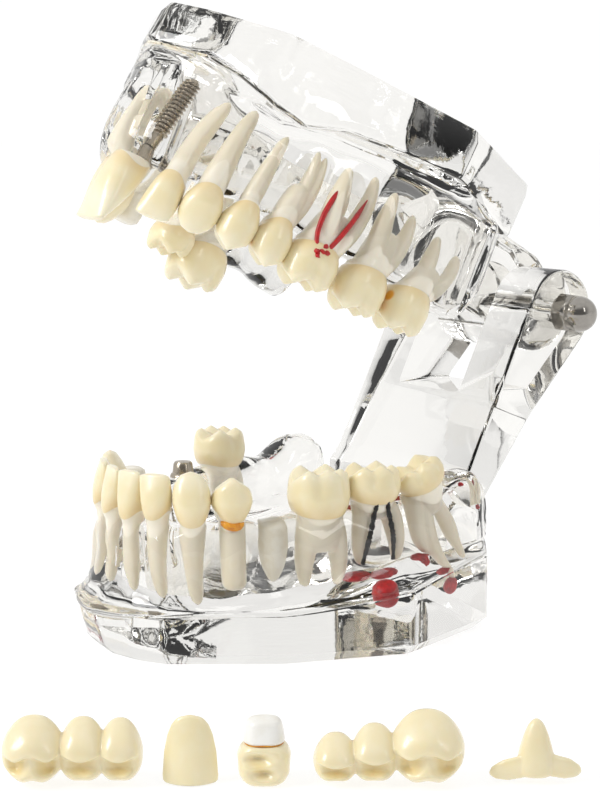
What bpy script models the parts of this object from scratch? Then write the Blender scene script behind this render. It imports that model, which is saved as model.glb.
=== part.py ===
"""Hinged clear-resin typodont, jaw open, with five loose restorations on the table.

Metres, +Z up, patient's left is +X, front teeth at -Y. The origin is the middle
of the lower base's bottom face. Lengths below are written in millimetres. The
upper jaw is built closed, under an empty on the hinge bolt that carries it open.
"""
import math

import bmesh
import bpy
import numpy as np
from mathutils import Matrix, Vector

MM = 0.001

# ---- driving dimensions, millimetres and degrees ----
GAP = 0.3                      # clearance between neighbouring pieces
BASE_PLAN = [(0, -33.6), (7.5, -32.2), (13.1, -29.4), (26.1, -12.3), (35.1, 9.8), (29.0, 33.6)]
UPPER_PLAN = [(0, -36.8), (8.0, -33.4), (21.4, -23.9), (26.8, -11.3), (35.3, 11.6), (28.2, 34.0)]
SLAB_TOP = 9.6                 # lower slab, height of its rim
SLAB_BEVEL = 2.0
REAR_TOP = 22.0                # height of the rear wall that carries the hinge plate
LOWER_GUM = 25.0               # gum line of the lower teeth
LOWER_BITE = 33.2              # cusps of the lower teeth
UPPER_BITE = 33.8              # cusps of the upper teeth, jaw closed
UPPER_GUM = 41.6
UPPER_RIM = 60.0               # lower rim of the upper slab
UPPER_TOP = 70.9
HINGE_Y, HINGE_Z = 60.9, 56.9
OPEN = 28.3                    # degrees the jaw stands open at rest
PLATE_HALF = 19.8
NOTCH_HALF = 9.0
NOTCH_FLOOR = 41.2
KNUCKLE_R = 8.3
BOLT_R = 2.0
NUT_FLATS = 7.0
LOWER_ARCH = [(0, -28.9), (2.7, -28.5), (8.1, -26.9), (12.7, -22.6), (16.1, -16.6),
              (18.8, -10.0), (21.4, -1.3), (24.0, 9.3), (26.0, 19.7)]
UPPER_ARCH = [(0, -33.4), (4.3, -32.8), (10.6, -28.8), (14.6, -22.9), (17.8, -16.3),
              (20.1, -9.9), (22.6, -1.7), (25.1, 8.0), (27.1, 17.3)]
LOWER_RIDGE = [(0, -27.6), (7.6, -25.6), (12.6, -21.0), (16.6, -14.0), (19.6, -6.5),
               (22.4, 3.0), (24.6, 12.0), (25.6, 20.0), (25.8, 31.4)]
UPPER_RIDGE = [(0, -31.4), (8.2, -28.2), (13.4, -22.0), (17.6, -14.0), (20.6, -6.0),
               (23.4, 3.0), (25.4, 12.0), (26.4, 20.0), (26.0, 29.4)]
ROW_HEADING = 52.1             # the loose pieces stand in a row along this heading
ROW_OUT = 84.0                 # distance of the row from the origin

# ---- scene: a collection for the model, one for its cutters, and the two empties ----
for old in list(bpy.data.objects):
    bpy.data.objects.remove(old, do_unlink=True)
scene = bpy.context.scene
model = bpy.data.collections.new("typodont")
cutters = bpy.data.collections.new("cutters")
scene.collection.children.link(model)
scene.collection.children.link(cutters)
cutters.hide_render = True


def empty(name, location, rotation):
    obj = bpy.data.objects.new(name, None)
    model.objects.link(obj)
    obj.location = Vector(location) * MM
    obj.rotation_euler = rotation
    return obj


heading = math.radians(ROW_HEADING)
jaw = empty("upper_jaw_pivot", (0, HINGE_Y, HINGE_Z), (-math.radians(OPEN), 0, 0))
row = empty("restoration_row", (ROW_OUT * math.sin(heading), -ROW_OUT * math.cos(heading), 0),
            (0, 0, heading))
PIVOT = Vector((0, HINGE_Y, HINGE_Z))


def material(name, color, roughness, metallic=0.0, alpha=1.0):
    mat = bpy.data.materials.new(name)
    mat.use_nodes = True
    shader = mat.node_tree.nodes["Principled BSDF"]
    shader.inputs["Base Color"].default_value = (*color, 1)
    shader.inputs["Roughness"].default_value = roughness
    shader.inputs["Metallic"].default_value = metallic
    shader.inputs["Alpha"].default_value = alpha
    return mat


CLEAR = material("clear_resin", (0.93, 0.94, 0.93), 0.05, alpha=0.35)
IVORY = material("ivory_tooth", (0.87, 0.79, 0.58), 0.3)
PALE = material("pale_stump", (0.86, 0.84, 0.78), 0.35)
STEEL = material("implant_metal", (0.55, 0.55, 0.56), 0.3, 1.0)
NICKEL = material("nickel", (0.72, 0.70, 0.66), 0.12, 1.0)
RED = material("lesion_red", (0.65, 0.02, 0.02), 0.4)


# ---- objects from a bmesh in millimetres ----
def finish(name, work, mat=None, home=None, at=(0, 0, 0), turn=None, cutter=False):
    """Link the mesh as one object, placed in the model, on the jaw's empty or in the row."""
    bmesh.ops.triangulate(work, faces=work.faces)
    bmesh.ops.recalc_face_normals(work, faces=work.faces)
    bmesh.ops.scale(work, vec=(MM, MM, MM), verts=work.verts)
    mesh = bpy.data.meshes.new(name)
    work.to_mesh(mesh)
    work.free()
    if mesh.polygons:
        mesh.shade_smooth()
        mesh.set_sharp_from_angle(angle=math.radians(35))
    obj = bpy.data.objects.new(name, mesh)
    (cutters if cutter else model).objects.link(obj)
    if cutter:
        obj.hide_render = True
        obj.display_type = "WIRE"
    if mat:
        mesh.materials.append(mat)
    obj.parent = home
    obj.location = (Vector(at) - (PIVOT if home is jaw else Vector())) * MM
    if turn is not None:
        obj.rotation_mode = "QUATERNION"
        obj.rotation_quaternion = turn
    return obj


def boolean(obj, other, operation="DIFFERENCE"):
    mod = obj.modifiers.new(operation.lower(), "BOOLEAN")
    mod.operation = operation
    mod.solver = "EXACT"
    mod.object = other


def apply_modifiers(obj):
    """Keep the evaluated mesh, for a piece that goes on as a plain mesh."""
    graph = bpy.context.evaluated_depsgraph_get()
    mesh = bpy.data.meshes.new_from_object(obj.evaluated_get(graph))
    obj.modifiers.clear()
    obj.data = mesh


def block(name, low, high, **where):
    """A box between two corners."""
    low, high = Vector(low), Vector(high)
    work = bmesh.new()
    bmesh.ops.create_cube(work, size=1, matrix=Matrix.Diagonal((*(high - low), 1)))
    return finish(name, work, at=(low + high) / 2, **where)


def rod(name, x0, x1, radius, sides=16, radius2=None, **where):
    """A cylinder or cone on the hinge axis, from x0 to x1."""
    work = bmesh.new()
    bmesh.ops.create_cone(work, cap_ends=True, segments=sides, radius1=radius,
                          radius2=radius if radius2 is None else radius2, depth=abs(x1 - x0),
                          matrix=Matrix.Rotation(math.copysign(math.pi / 2, x1 - x0), 4, "Y"))
    return finish(name, work, at=((x0 + x1) / 2, HINGE_Y, HINGE_Z), **where)


def turned(name, origin, axis, profile, sides=14, **where):
    """A Screw of (distance, radius) points about an axis that starts at the origin."""
    profile = sorted(profile, reverse=True)
    points = [(0, profile[0][0]), *[(r, d) for d, r in profile], (0, profile[-1][0])]
    work = bmesh.new()
    verts = [work.verts.new((r, 0, d)) for r, d in points]
    for one, two in zip(verts, verts[1:]):
        work.edges.new((one, two))
    obj = finish(name, work, at=origin, turn=Vector(axis).to_track_quat("Z", "Y"), **where)
    screw = obj.modifiers.new("turn", "SCREW")
    screw.steps = screw.render_steps = sides
    screw.use_merge_vertices = True
    screw.merge_threshold = 0.00001
    return obj


def plate(name, outline, low, high, bevel=0.0, turn=None, **where):
    """A flat outline as a filled 2D curve, extruded from low to high, edges bevelled."""
    curve = bpy.data.curves.new(name, "CURVE")
    curve.dimensions = "2D"
    curve.fill_mode = "BOTH"
    curve.extrude = (high - low) / 2
    spline = curve.splines.new("POLY")
    spline.points.add(len(outline) - 1)
    for point, (x, y) in zip(spline.points, outline):
        point.co = (x, y, 0, 1)
    spline.use_cyclic_u = True
    sketch = bpy.data.objects.new(name + "_sketch", curve)
    cutters.objects.link(sketch)
    graph = bpy.context.evaluated_depsgraph_get()
    work = bmesh.new()
    work.from_mesh(bpy.data.meshes.new_from_object(sketch.evaluated_get(graph)))
    bpy.data.objects.remove(sketch, do_unlink=True)
    bmesh.ops.remove_doubles(work, verts=work.verts, dist=0.001)
    bmesh.ops.translate(work, vec=(0, 0, (high + low) / 2), verts=work.verts)
    if bevel:
        bmesh.ops.dissolve_limit(work, angle_limit=0.01, verts=work.verts, edges=work.edges)
        rim = [e for e in work.edges if abs(e.verts[0].co.z - e.verts[1].co.z) < 0.01]
        bmesh.ops.bevel(work, geom=rim, offset=bevel, segments=2, profile=0.6, affect="EDGES")
    if turn:
        bmesh.ops.transform(work, matrix=turn, verts=work.verts)
    return finish(name, work, **where)


def loft(name, rings, **where):
    """A skin through rings of equal count, fanned shut at both ends."""
    work = bmesh.new()
    loops = [[work.verts.new(p) for p in ring] for ring in rings]
    for one, two in zip(loops, loops[1:]):
        for i in range(len(one)):
            work.faces.new((one[i - 1], one[i], two[i], two[i - 1]))
    for ring in (loops[0], loops[-1]):
        work.faces.new(ring)
    bmesh.ops.poke(work, faces=work.faces[-2:])
    return finish(name, work, **where)


def mirrored(half):
    return [(-x, y) for x, y in half[:0:-1]] + list(half)


# ---- gum ridges: a section swept along the dental arch ----
def even_path(path, count):
    """Evenly spaced points and unit headings along a path with its corners softened."""
    path = np.asarray(path, float)
    for step in range(61):
        leg = np.r_[0, np.cumsum(np.hypot(*np.diff(path, axis=0).T))]
        s = np.linspace(0, leg[-1], 400 if step < 60 else count)
        if step in (0, 60):
            path = np.stack([np.interp(s, leg, path[:, i]) for i in (0, 1)], 1)
        else:
            path[1:-1] = (path[:-2] + 2 * path[1:-1] + path[2:]) / 4
    run = np.gradient(path, axis=0)
    return path, run / np.linalg.norm(run, axis=1)[:, None]


def ridge(name, centre, section, count=29, **where):
    """A section of (out, height) points along the arch, shrinking at its two ends."""
    points, run = even_path(mirrored(centre), count)
    section = np.asarray(section, float)
    foot = section[0, 1]
    shrink = {0: (0.62, 0.90), 1: (0.88, 0.98)}
    rings = []
    for k, (p, t) in enumerate(zip(points, run)):
        narrow, low = shrink.get(min(k, count - 1 - k), (1, 1))
        out = section[:, 0] * narrow
        rings.append(np.c_[p[0] + t[1] * out, p[1] - t[0] * out, foot + (section[:, 1] - foot) * low])
    return loft(name, rings, **where)


# ---- teeth: lofts from the root tip to the biting end ----
CROWNS = {  # rings as (share of height, half width, half depth, outward shift)
    "incisor": [(0, .38, .42, 0), (.35, .46, .44, .02), (.75, .50, .26, .06), (1, .48, .11, .08)],
    "canine": [(0, .38, .42, 0), (.35, .47, .48, .02), (.72, .46, .30, .04), (1, .16, .12, .05)],
    "premolar": [(0, .38, .40, 0), (.35, .49, .50, 0), (.75, .47, .42, 0), (1, .30, .28, 0)],
    "molar": [(0, .42, .42, 0), (.35, .50, .50, 0), (.75, .49, .45, 0), (1, .38, .33, 0)],
    "stump": [(0, .40, .40, 0), (1, .30, .28, 0)],
    "root": [(0, .38, .40, 0)],
}
ROOT = [(1.0, .07), (.93, .13), (.6, .25), (.25, .35)]  # (share of length, half width)


def squared_oval(a, b, sides, phase=0.0, power=0.8):
    t = np.linspace(0, 2 * math.pi, sides, endpoint=False) + phase
    c, s = np.cos(t), np.sin(t)
    return a * np.sign(c) * np.abs(c) ** power, b * np.sign(s) * np.abs(s) ** power


def ring(at, out, high, a, b, sides):
    c, s = squared_oval(a, b, sides)
    return np.c_[at + c, out + s, np.full(sides, high)]


def tooth(name, place, kind, wide, deep, neck, bite, tips, lean=(0, 0), mat=IVORY, home=None,
          host=None):
    """A tooth at its arch position, with one root (its tip height) or several
    (along, outward, height) tips. The host base gets a socket one gap wider."""
    arch = np.array(mirrored(UPPER_ARCH if home else LOWER_ARCH), float)
    near = int(np.linalg.norm(arch - np.array(place), axis=1).argmin())
    run = arch[min(near + 1, len(arch) - 1)] - arch[max(near - 1, 0)]
    angle = math.atan2(run[1], run[0])
    up = 1 if bite > neck else -1
    tall = abs(bite - neck)
    where = {"home": home, "at": (*place, neck),
             "turn": Matrix.Rotation(angle, 3, "Z").to_quaternion()}

    def body(label, grow, sides, cutter):
        rings = []
        for share, a, b, out in CROWNS[kind]:
            rings.append(ring(0, -out * deep, up * (tall * share + (grow if share == 1 else 0)),
                              wide * a + grow, deep * b + grow, sides))
        if isinstance(tips, list):
            rings.insert(0, ring(0, 0, -up * 3.4, wide * .36 + grow, deep * .34 + grow, sides))
            return loft(label, rings, mat=mat, cutter=cutter, **where)
        run_down = abs(neck - tips)
        roots = [ring(lean[0] * share, -lean[1] * share,
                      -up * (run_down * share + (grow if share == 1 else 0)),
                      wide * a + grow, deep * a * 1.1 + grow, sides) for share, a in ROOT]
        return loft(label, roots + rings, mat=mat, cutter=cutter, **where)

    made = []
    for label, grow in ((name, 0.0), (name + "_socket", GAP)):
        obj = body(label, grow, 12 if isinstance(tips, list) else 10, grow > 0)
        if isinstance(tips, list):
            for k, (at, out, high) in enumerate(tips):
                top, end = -up * 1.8, high - neck
                legs = [ring(at, -out, end - up * grow, 0.45 + grow, 0.6 + grow, 8),
                        ring(at * 1.02, -out, 0.5 * (top + end), 1.0 + grow, 1.35 + grow, 8),
                        ring(at * .68, -out * .68, top, 1.35 + grow, 1.6 + grow, 8)]
                leg = loft(f"{label}_leg{k}", legs, cutter=True, **where)
                boolean(obj, leg, "UNION")
            apply_modifiers(obj)
        made.append(obj)
    if host:
        boolean(host, made[1])
    return made[0]


# ---- lower base: slab, gum ridge, rear wall and the pads behind the last teeth ----
lower = plate("lower_base", mirrored(BASE_PLAN), 0, SLAB_TOP, SLAB_BEVEL, mat=CLEAR)
lower_section = [(-6.0, 4), (-5.6, 14), (-4.8, 21.5), (-2.6, LOWER_GUM), (2.6, LOWER_GUM),
                 (4.8, 22), (5.0, 15), (5.6, 10.5), (7.2, 6), (6.6, 4)]
boolean(lower, ridge("lower_gum", LOWER_RIDGE, lower_section, cutter=True), "UNION")
boolean(lower, block("rear_wall", (-22, 26.3, 4.3), (22, 33.45, REAR_TOP), cutter=True), "UNION")
for side in (-1, 1):
    pad = turned(f"pad_{side}", (side * 25.4, 27.0, 4), (0, 0, 1),
                 [(0, 6.4), (19, 6.2), (23, 4.8), (24.6, 2.6)], cutter=True)
    boolean(lower, pad, "UNION")
apply_modifiers(lower)

for name, place, kind, wide, deep, tips, lean in [
        ("tooth_LL1", (2.7, -28.5), "incisor", 5.2, 6.0, 11.0, (0, -1.5)),
        ("tooth_LL2", (8.1, -26.9), "incisor", 5.6, 6.2, 10.7, (0, -1.5)),
        ("tooth_LL3", (12.7, -22.6), "canine", 6.6, 7.4, 9.8, (0, -1.5)),
        ("tooth_LL4", (16.1, -16.6), "premolar", 6.8, 7.4, 13.0, (0, 0)),
        ("tooth_LL6", (21.4, -1.3), "molar", 10.6, 9.8, [(-3.0, 0.15, 12.0), (3.1, -0.1, 11.5)], None),
        ("tooth_LL7", (24.0, 9.3), "molar", 10.0, 9.4, [(-3.0, 0, 14.9), (3.0, 0, 14.9)], None),
        ("tooth_LR1", (-2.7, -28.5), "incisor", 5.2, 6.0, 11.0, (0, -1.5)),
        ("tooth_LR2", (-8.1, -26.9), "incisor", 5.6, 6.2, 10.7, (0, -1.5)),
        ("tooth_LR3", (-12.7, -22.6), "canine", 6.6, 7.4, 9.8, (0, -1.5)),
        ("tooth_LR7", (-24.0, 9.3), "molar", 10.0, 9.4, 12.5, (0, 0))]:
    tooth(name, place, kind, wide, deep, LOWER_GUM - 0.4, LOWER_BITE, tips, lean, host=lower)
tooth("root_LL5", (18.8, -10.0), "root", 6.2, 6.6, LOWER_GUM - 1.0, LOWER_GUM, 14.0, mat=PALE,
      host=lower)
tooth("stump_LR4", (-16.1, -16.6), "stump", 6.2, 6.6, LOWER_GUM, 30.0, 12.5, mat=PALE, host=lower)
tooth("tooth_LL8", (25.4, 19.6), "molar", 9.0, 8.8, LOWER_GUM + 0.6, LOWER_BITE - 0.4,
      [(-1.6, 0, 15.4), (3.6, 0, 12.0)], host=lower)

# lesions under the root tips, in rooms that open into the sockets above them
for name, place, size in (("lesion_LL7_mesial", (23.25, 6.4, 13.4), 1.9),
                          ("lesion_LL7_distal", (24.75, 12.2, 13.4), 1.9),
                          ("lesion_LL8", (26.1, 22.9, 10.5), 1.7)):
    turned(name, place, (0, 0, 1), [(-1.1, 0.5), (-0.7, 0.8 * size), (0, size),
                                    (0.5, 0.85 * size), (0.85, 0.4)], mat=RED)
    room = [(-1.1 - GAP, 0.7), (-0.8, 0.8 * size + GAP), (0, size + GAP),
            (0.6, 0.85 * size + GAP), (2.6, 1.1)]
    boolean(lower, turned(name + "_room", place, (0, 0, 1), room, cutter=True))

# a cyst ball in a bore from the outer wall
sphere = bmesh.new()
bmesh.ops.create_uvsphere(sphere, u_segments=14, v_segments=8, radius=2.3)
finish("cyst_ball", sphere, mat=RED, at=(30.4, 6.6, 11.2))
boolean(lower, turned("cyst_bore", (27.6, 6.6, 11.2), (1, 0, 0), [(0, 2.6), (12, 2.7)], cutter=True))

# far-side implant, its abutment standing out of the gum
SITE = (-21.4, -1.3)
turned("implant_LR6", (*SITE, 11), (0, 0, 1), [(0, 1.2), (0.8, 1.7), (4, 2.0), (11.2, 2.0)],
       mat=STEEL)
turned("abutment_LR6", (*SITE, 22.5), (0, 0, 1), [(0, 1.9), (2.6, 2.6), (3.2, 2.4), (7.2, 1.7)],
       mat=STEEL)
boolean(lower, turned("implant_LR6_socket", (*SITE, 11 - GAP), (0, 0, 1),
                      [(0, 1.9), (4, 2.3), (13, 2.3), (14.2, 3.0), (18, 3.0)], cutter=True))


# ---- hinge plate: leans back from the rear wall, notched for the upper tongue ----
def arc(radius, start, stop, count):
    t = np.radians(np.linspace(start, stop, count))
    return [(HINGE_Y + radius * math.cos(a), HINGE_Z + radius * math.sin(a)) for a in t]


UPRIGHT = Matrix(((0, 0, 1, 0), (1, 0, 0, 0), (0, 1, 0, 0), (0, 0, 0, 1)))  # outline in Y and Z
outline = [(33.6 + GAP, 14.2), (41.8, 22.9), (52.8, 36.8), (HINGE_Y + 5.2, HINGE_Z - 6.6),
           *arc(KNUCKLE_R, -40, 150, 14), (50.0, 54.0), (44.0, 42.0), (36.6, 28.0),
           (33.6 + GAP, 25.0)]
cheeks = plate("hinge_plate", outline, -PLATE_HALF, PLATE_HALF, turn=UPRIGHT, mat=CLEAR)
boolean(cheeks, block("notch", (-NOTCH_HALF, 30, NOTCH_FLOOR), (NOTCH_HALF, 80, 80), cutter=True))
boolean(cheeks, rod("plate_bore", -30, 30, BOLT_R + GAP, cutter=True))

# ---- bolt and acorn nuts ----
rod("hinge_bolt", -PLATE_HALF - 3.6, PLATE_HALF + 3.6, BOLT_R, mat=NICKEL)
for name, sign in (("nut_right", -1), ("nut_left", 1)):
    start = PLATE_HALF + GAP
    nut = rod(name, sign * start, sign * (start + 3.2), NUT_FLATS / math.sqrt(3), 6, mat=NICKEL)
    dome = turned(name + "_dome", (sign * (start + 2.2), HINGE_Y, HINGE_Z), (sign, 0, 0),
                  [(0, 3.4), (2.0, 3.4), (3.7, 2.9), (4.9, 1.8), (5.4, 0.6)], 16, cutter=True)
    boolean(nut, dome, "UNION")
    boolean(nut, rod(name + "_bore", sign * (start - 2), sign * (start + 3.9), BOLT_R + GAP,
                     cutter=True))

# ---- upper base, built closed: slab, gum ridge, rounded rear corners and palate ----
upper = plate("upper_base", mirrored(UPPER_PLAN), UPPER_RIM, UPPER_TOP, SLAB_BEVEL, mat=CLEAR,
              home=jaw)
bmesh_shift = Matrix.Translation(-PIVOT * MM)
upper.data.transform(bmesh_shift)
upper.location = (0, 0, 0)
upper_section = [(-6.4, 66), (-6.2, 54), (-5.0, 45), (-2.6, UPPER_GUM), (2.6, UPPER_GUM),
                 (4.6, 44.5), (4.9, 52), (4.6, 58.5), (5.4, 63), (5.2, 66)]
boolean(upper, ridge("upper_gum", UPPER_RIDGE, upper_section, home=jaw, cutter=True), "UNION")
for side in (-1, 1):
    pad = turned(f"tuber_{side}", (side * 25.8, 27.2, 66), (0, 0, -1),
                 [(0, 6.6), (18, 6.2), (22, 4.8), (24, 2.6)], home=jaw, cutter=True)
    boolean(upper, pad, "UNION")
palate = turned("palate", (0, 4, 66), (0, 0, -1), [(0, 24), (12.5, 20), (14.5, 14)], 16, home=jaw,
                cutter=True)
boolean(upper, palate, "UNION")
apply_modifiers(upper)

for name, place, kind, wide, deep, tips, lean in [
        ("tooth_UL2", (10.6, -28.8), "incisor", 6.4, 6.4, 57.2, (0, -5.0)),
        ("tooth_UL3", (14.6, -22.9), "canine", 7.4, 8.0, 57.6, (0, -1.0)),
        ("tooth_UL4", (17.8, -16.3), "premolar", 7.0, 8.6, 55.5, (0, 0)),
        ("tooth_UL5", (20.1, -9.9), "premolar", 6.6, 8.6, 55.5, (0, 0)),
        ("tooth_UL6", (22.6, -1.7), "molar", 9.8, 10.2, [(-2.6, 1.4, 55.0), (2.6, 1.4, 56.4)], None),
        ("tooth_UL7", (25.1, 8.0), "molar", 9.4, 10.0, [(-2.4, 1.2, 55.0), (2.4, 1.2, 53.4)], None),
        ("tooth_UL8", (27.1, 17.3), "molar", 8.6, 9.4, [(-1.6, 0, 52.4), (2.4, 0, 51.2)], None),
        ("tooth_UR1", (-4.3, -32.8), "incisor", 8.0, 6.8, 56.0, (0, -6.0)),
        ("tooth_UR3", (-14.6, -22.9), "canine", 7.4, 8.0, 57.6, (0, -1.0)),
        ("tooth_UR6", (-22.6, -1.7), "molar", 9.8, 10.2, 55.0, (0, 0)),
        ("tooth_UR7", (-25.1, 8.0), "molar", 9.4, 10.0, 54.0, (0, 0))]:
    bite = 31.4 if name == "tooth_UR1" else UPPER_BITE
    tooth(name, place, kind, wide, deep, UPPER_GUM + 0.4, bite, tips, lean, home=jaw, host=upper)
tooth("stump_UR4", (-17.8, -16.3), "stump", 6.0, 7.0, UPPER_GUM, 36.5, 55.0, mat=PALE, home=jaw,
      host=upper)

# front implant with its abutment, and the crown that sits over it
TIP = Vector((3.9, -25.6, 59.4))
COLLAR = Vector((4.1, -29.4, 45.6))
AXIS = (TIP - COLLAR).normalized()
turned("implant_UL1", COLLAR, AXIS, [(0, 1.9), (10.5, 1.9), (13.2, 1.6), (14.2, 1.1)], mat=STEEL,
       home=jaw)
turned("abutment_UL1", COLLAR - AXIS * GAP, -AXIS, [(0, 1.8), (2.6, 2.3), (3.4, 1.9), (8.4, 1.3)],
       mat=STEEL, home=jaw)
boolean(upper, turned("implant_UL1_socket", COLLAR + AXIS * 14.6, -AXIS,
                      [(0, 1.5), (1.8, 2.1), (4.5, 2.2), (14.9, 2.2), (17.2, 2.7), (24, 2.7)],
                      home=jaw, cutter=True))
crown = tooth("crown_UL1", (4.3, -33.0), "incisor", 8.0, 7.6, UPPER_GUM + 0.6, 30.0,
              UPPER_GUM + 0.9, home=jaw, host=upper)
boolean(crown, turned("crown_UL1_bore", COLLAR + AXIS * 2, -AXIS,
                      [(0, 2.7), (5.4, 2.6), (5.9, 2.2), (11.0, 1.65)], 12, home=jaw, cutter=True))

# ---- hinge tongue behind the upper base ----
outline = [(34.0 + GAP, 68.0), (60.5, 68.0), (64.5, 66.4), *arc(KNUCKLE_R + 0.2, 50, -130, 14),
           (50.0, 50.5), (34.0 + GAP, 50.5)]
outline = [(y - HINGE_Y, z - HINGE_Z) for y, z in outline]
tongue = plate("hinge_tongue", outline, -NOTCH_HALF + GAP, NOTCH_HALF - GAP, turn=UPRIGHT,
               mat=CLEAR, home=jaw, at=PIVOT)
boolean(tongue, rod("tongue_bore", -30, 30, BOLT_R + GAP, home=jaw, cutter=True))


# ---- loose restorations: along the row is X, away from the viewer is Y ----
def lying_crown(name, wide, tall, long, **where):
    """A crown on its side: biting end toward the viewer, cheek side up, flat below."""
    c, s = squared_oval(wide, 1, 14, 0.11)
    rings = []
    for share, a, b in ((0, .43, .86), (.3, .49, .97), (.62, .50, 1.0), (.85, .45, .90), (1, .33, .66)):
        high = np.maximum(tall * 0.5 * (1 + s * b), 0.02 + 0.06 * (1 - share))
        rings.append(np.c_[a * c, np.full(14, long * (0.5 - share)), high])
    return loft(name, rings, **where)


def bridge(name, units):
    """Crowns joined side by side; the retainers at the ends are hollow from behind."""
    whole = None
    for k, (at, wide, tall, long, hollow) in enumerate(units):
        label = f"{name}_unit{k}" if k else name
        one = lying_crown(label, wide, tall, long, mat=IVORY, home=row, at=(at, 0, 0), cutter=k > 0)
        if k:
            boolean(whole, one, "UNION")
        else:
            whole = one
    for k, (at, wide, tall, long, hollow) in enumerate(units):
        if hollow:
            bore = turned(f"{name}_hollow{k}", (at, 0.5 * long + 1, tall * 0.5), (0, -1, 0),
                          [(0, 0.33 * min(wide, tall)), (long * 0.66, 0.24 * min(wide, tall))], 12,
                          home=row, cutter=True)
            boolean(whole, bore)


bridge("bridge_upper", [(-30.1, 8.4, 8.6, 8.0, True), (-23.3, 7.0, 8.2, 7.6, False),
                        (-17.4, 6.4, 7.8, 7.4, True)])
bridge("bridge_lower", [(13.9, 6.0, 7.6, 7.2, True), (19.5, 6.6, 7.8, 7.4, False),
                        (27.3, 10.8, 9.2, 8.6, True)])

u = np.linspace(-1, 1, 9)
rings = []
for high, half in ((0.05, 3.3), (1.2, 3.95), (4.0, 4.05), (7.2, 3.6), (9.0, 2.6), (9.7, 1.2)):
    bow = (1 - u ** 2) * half / 4
    face = np.c_[half * u, 0.12 * high - 1.6 * bow, np.full(9, high)]
    back = np.c_[half * u, 0.12 * high + 0.7 - 0.5 * bow, np.full(9, high)]
    rings.append(np.vstack([face, back[::-1]]))
loft("veneer", rings, mat=IVORY, home=row, at=(-7.1, 0, 0))


def standing(name, at, levels, mat, cutter=False):
    """A lump standing on the table, from (height, half width, half depth) levels."""
    rings = []
    for high, a, b in levels:
        c, s = squared_oval(a, b, 14, 0.07, 0.75)
        rings.append(np.c_[c, s, np.full(14, high)])
    return loft(name, rings, mat=mat, home=row, at=(at, 0, 0), cutter=cutter)


shell = standing("crown_shell", 3.6, [(0.05, 2.9, 2.7), (1.4, 3.55, 3.3), (4.2, 3.75, 3.5),
                                      (5.9, 3.1, 2.9)], IVORY)
boolean(shell, turned("crown_dip", (3.6, -5.6, 1.4), (0, 1, 0), [(0, 2.3), (3.4, 1.5)], 12, home=row,
                      cutter=True))
standing("crown_core", 3.6, [(6.2, 2.7, 2.5), (7.6, 2.9, 2.7), (9.0, 2.4, 2.3), (9.6, 1.3, 1.2)], PALE)

maryland = standing("maryland_bridge", 43.0, [(0.05, 1.9, 1.7), (2.4, 2.6, 2.3), (4.6, 2.3, 2.0),
                                              (6.8, 1.4, 1.3), (9.2, 0.35, 0.35)], IVORY)
rings = []
for at, depth, tall in ((-6.7, 0.5, 0.5), (-5.4, 1.3, 1.5), (-2.6, 1.2, 1.5), (0, 1.1, 1.3),
                        (2.6, 1.2, 1.5), (5.4, 1.3, 1.5), (6.7, 0.5, 0.5)):
    c, s = squared_oval(depth, tall, 10, 0.13, 1.0)
    rings.append(np.c_[np.full(10, at), c, 2.2 + 0.04 * abs(at) + s])
wings = loft("maryland_wings", rings, home=row, at=(43.0, 0, 0), cutter=True)
boolean(maryland, wings, "UNION")
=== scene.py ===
import math

import bmesh
import bpy
import numpy as np
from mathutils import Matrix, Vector


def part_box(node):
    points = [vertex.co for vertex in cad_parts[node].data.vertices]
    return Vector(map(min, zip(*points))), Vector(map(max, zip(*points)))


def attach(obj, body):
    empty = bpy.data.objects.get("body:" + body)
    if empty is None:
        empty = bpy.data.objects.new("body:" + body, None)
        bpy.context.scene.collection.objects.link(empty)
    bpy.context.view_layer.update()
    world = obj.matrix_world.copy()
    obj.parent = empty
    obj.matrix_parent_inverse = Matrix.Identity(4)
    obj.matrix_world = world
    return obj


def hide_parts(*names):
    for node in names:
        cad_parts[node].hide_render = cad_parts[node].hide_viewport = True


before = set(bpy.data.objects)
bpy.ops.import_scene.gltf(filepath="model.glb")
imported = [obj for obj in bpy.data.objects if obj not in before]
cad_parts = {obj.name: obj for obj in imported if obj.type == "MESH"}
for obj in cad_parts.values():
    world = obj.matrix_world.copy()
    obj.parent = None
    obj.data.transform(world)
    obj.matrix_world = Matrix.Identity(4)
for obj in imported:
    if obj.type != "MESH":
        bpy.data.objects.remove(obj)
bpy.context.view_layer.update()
mm = 0.001
boltLow, boltHigh = (np.array(corner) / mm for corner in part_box("hinge_bolt"))
hinge = (boltLow + boltHigh) / 2
openAngle = math.radians(28.3)
print("frame loaded, hinge at", hinge.round(2).tolist())


# A socket that takes part in sums: each operator adds one Math node.
class Level:
    def __init__(self, maker, socket):
        self.maker, self.socket = maker, socket

    def math(self, operation, *values):
        made = self.maker.node("ShaderNodeMath", {"operation": operation}, dict(enumerate(values)))
        return Level(self.maker, made.outputs[0])

    def __add__(self, other):
        return self.math("ADD", self, other)

    def __sub__(self, other):
        return self.math("SUBTRACT", self, other)

    def __mul__(self, other):
        return self.math("MULTIPLY", self, other)

    def __rsub__(self, other):
        return self.math("SUBTRACT", other, self)

    __radd__, __rmul__ = __add__, __mul__

    # 0 below low, 1 above high, with an eased rise between them.
    def step(self, low, high):
        made = self.maker.node("ShaderNodeMapRange", {"interpolation_type": "SMOOTHSTEP"},
                               {"Value": self, "From Min": low, "From Max": high})
        return Level(self.maker, made.outputs[0])


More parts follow.
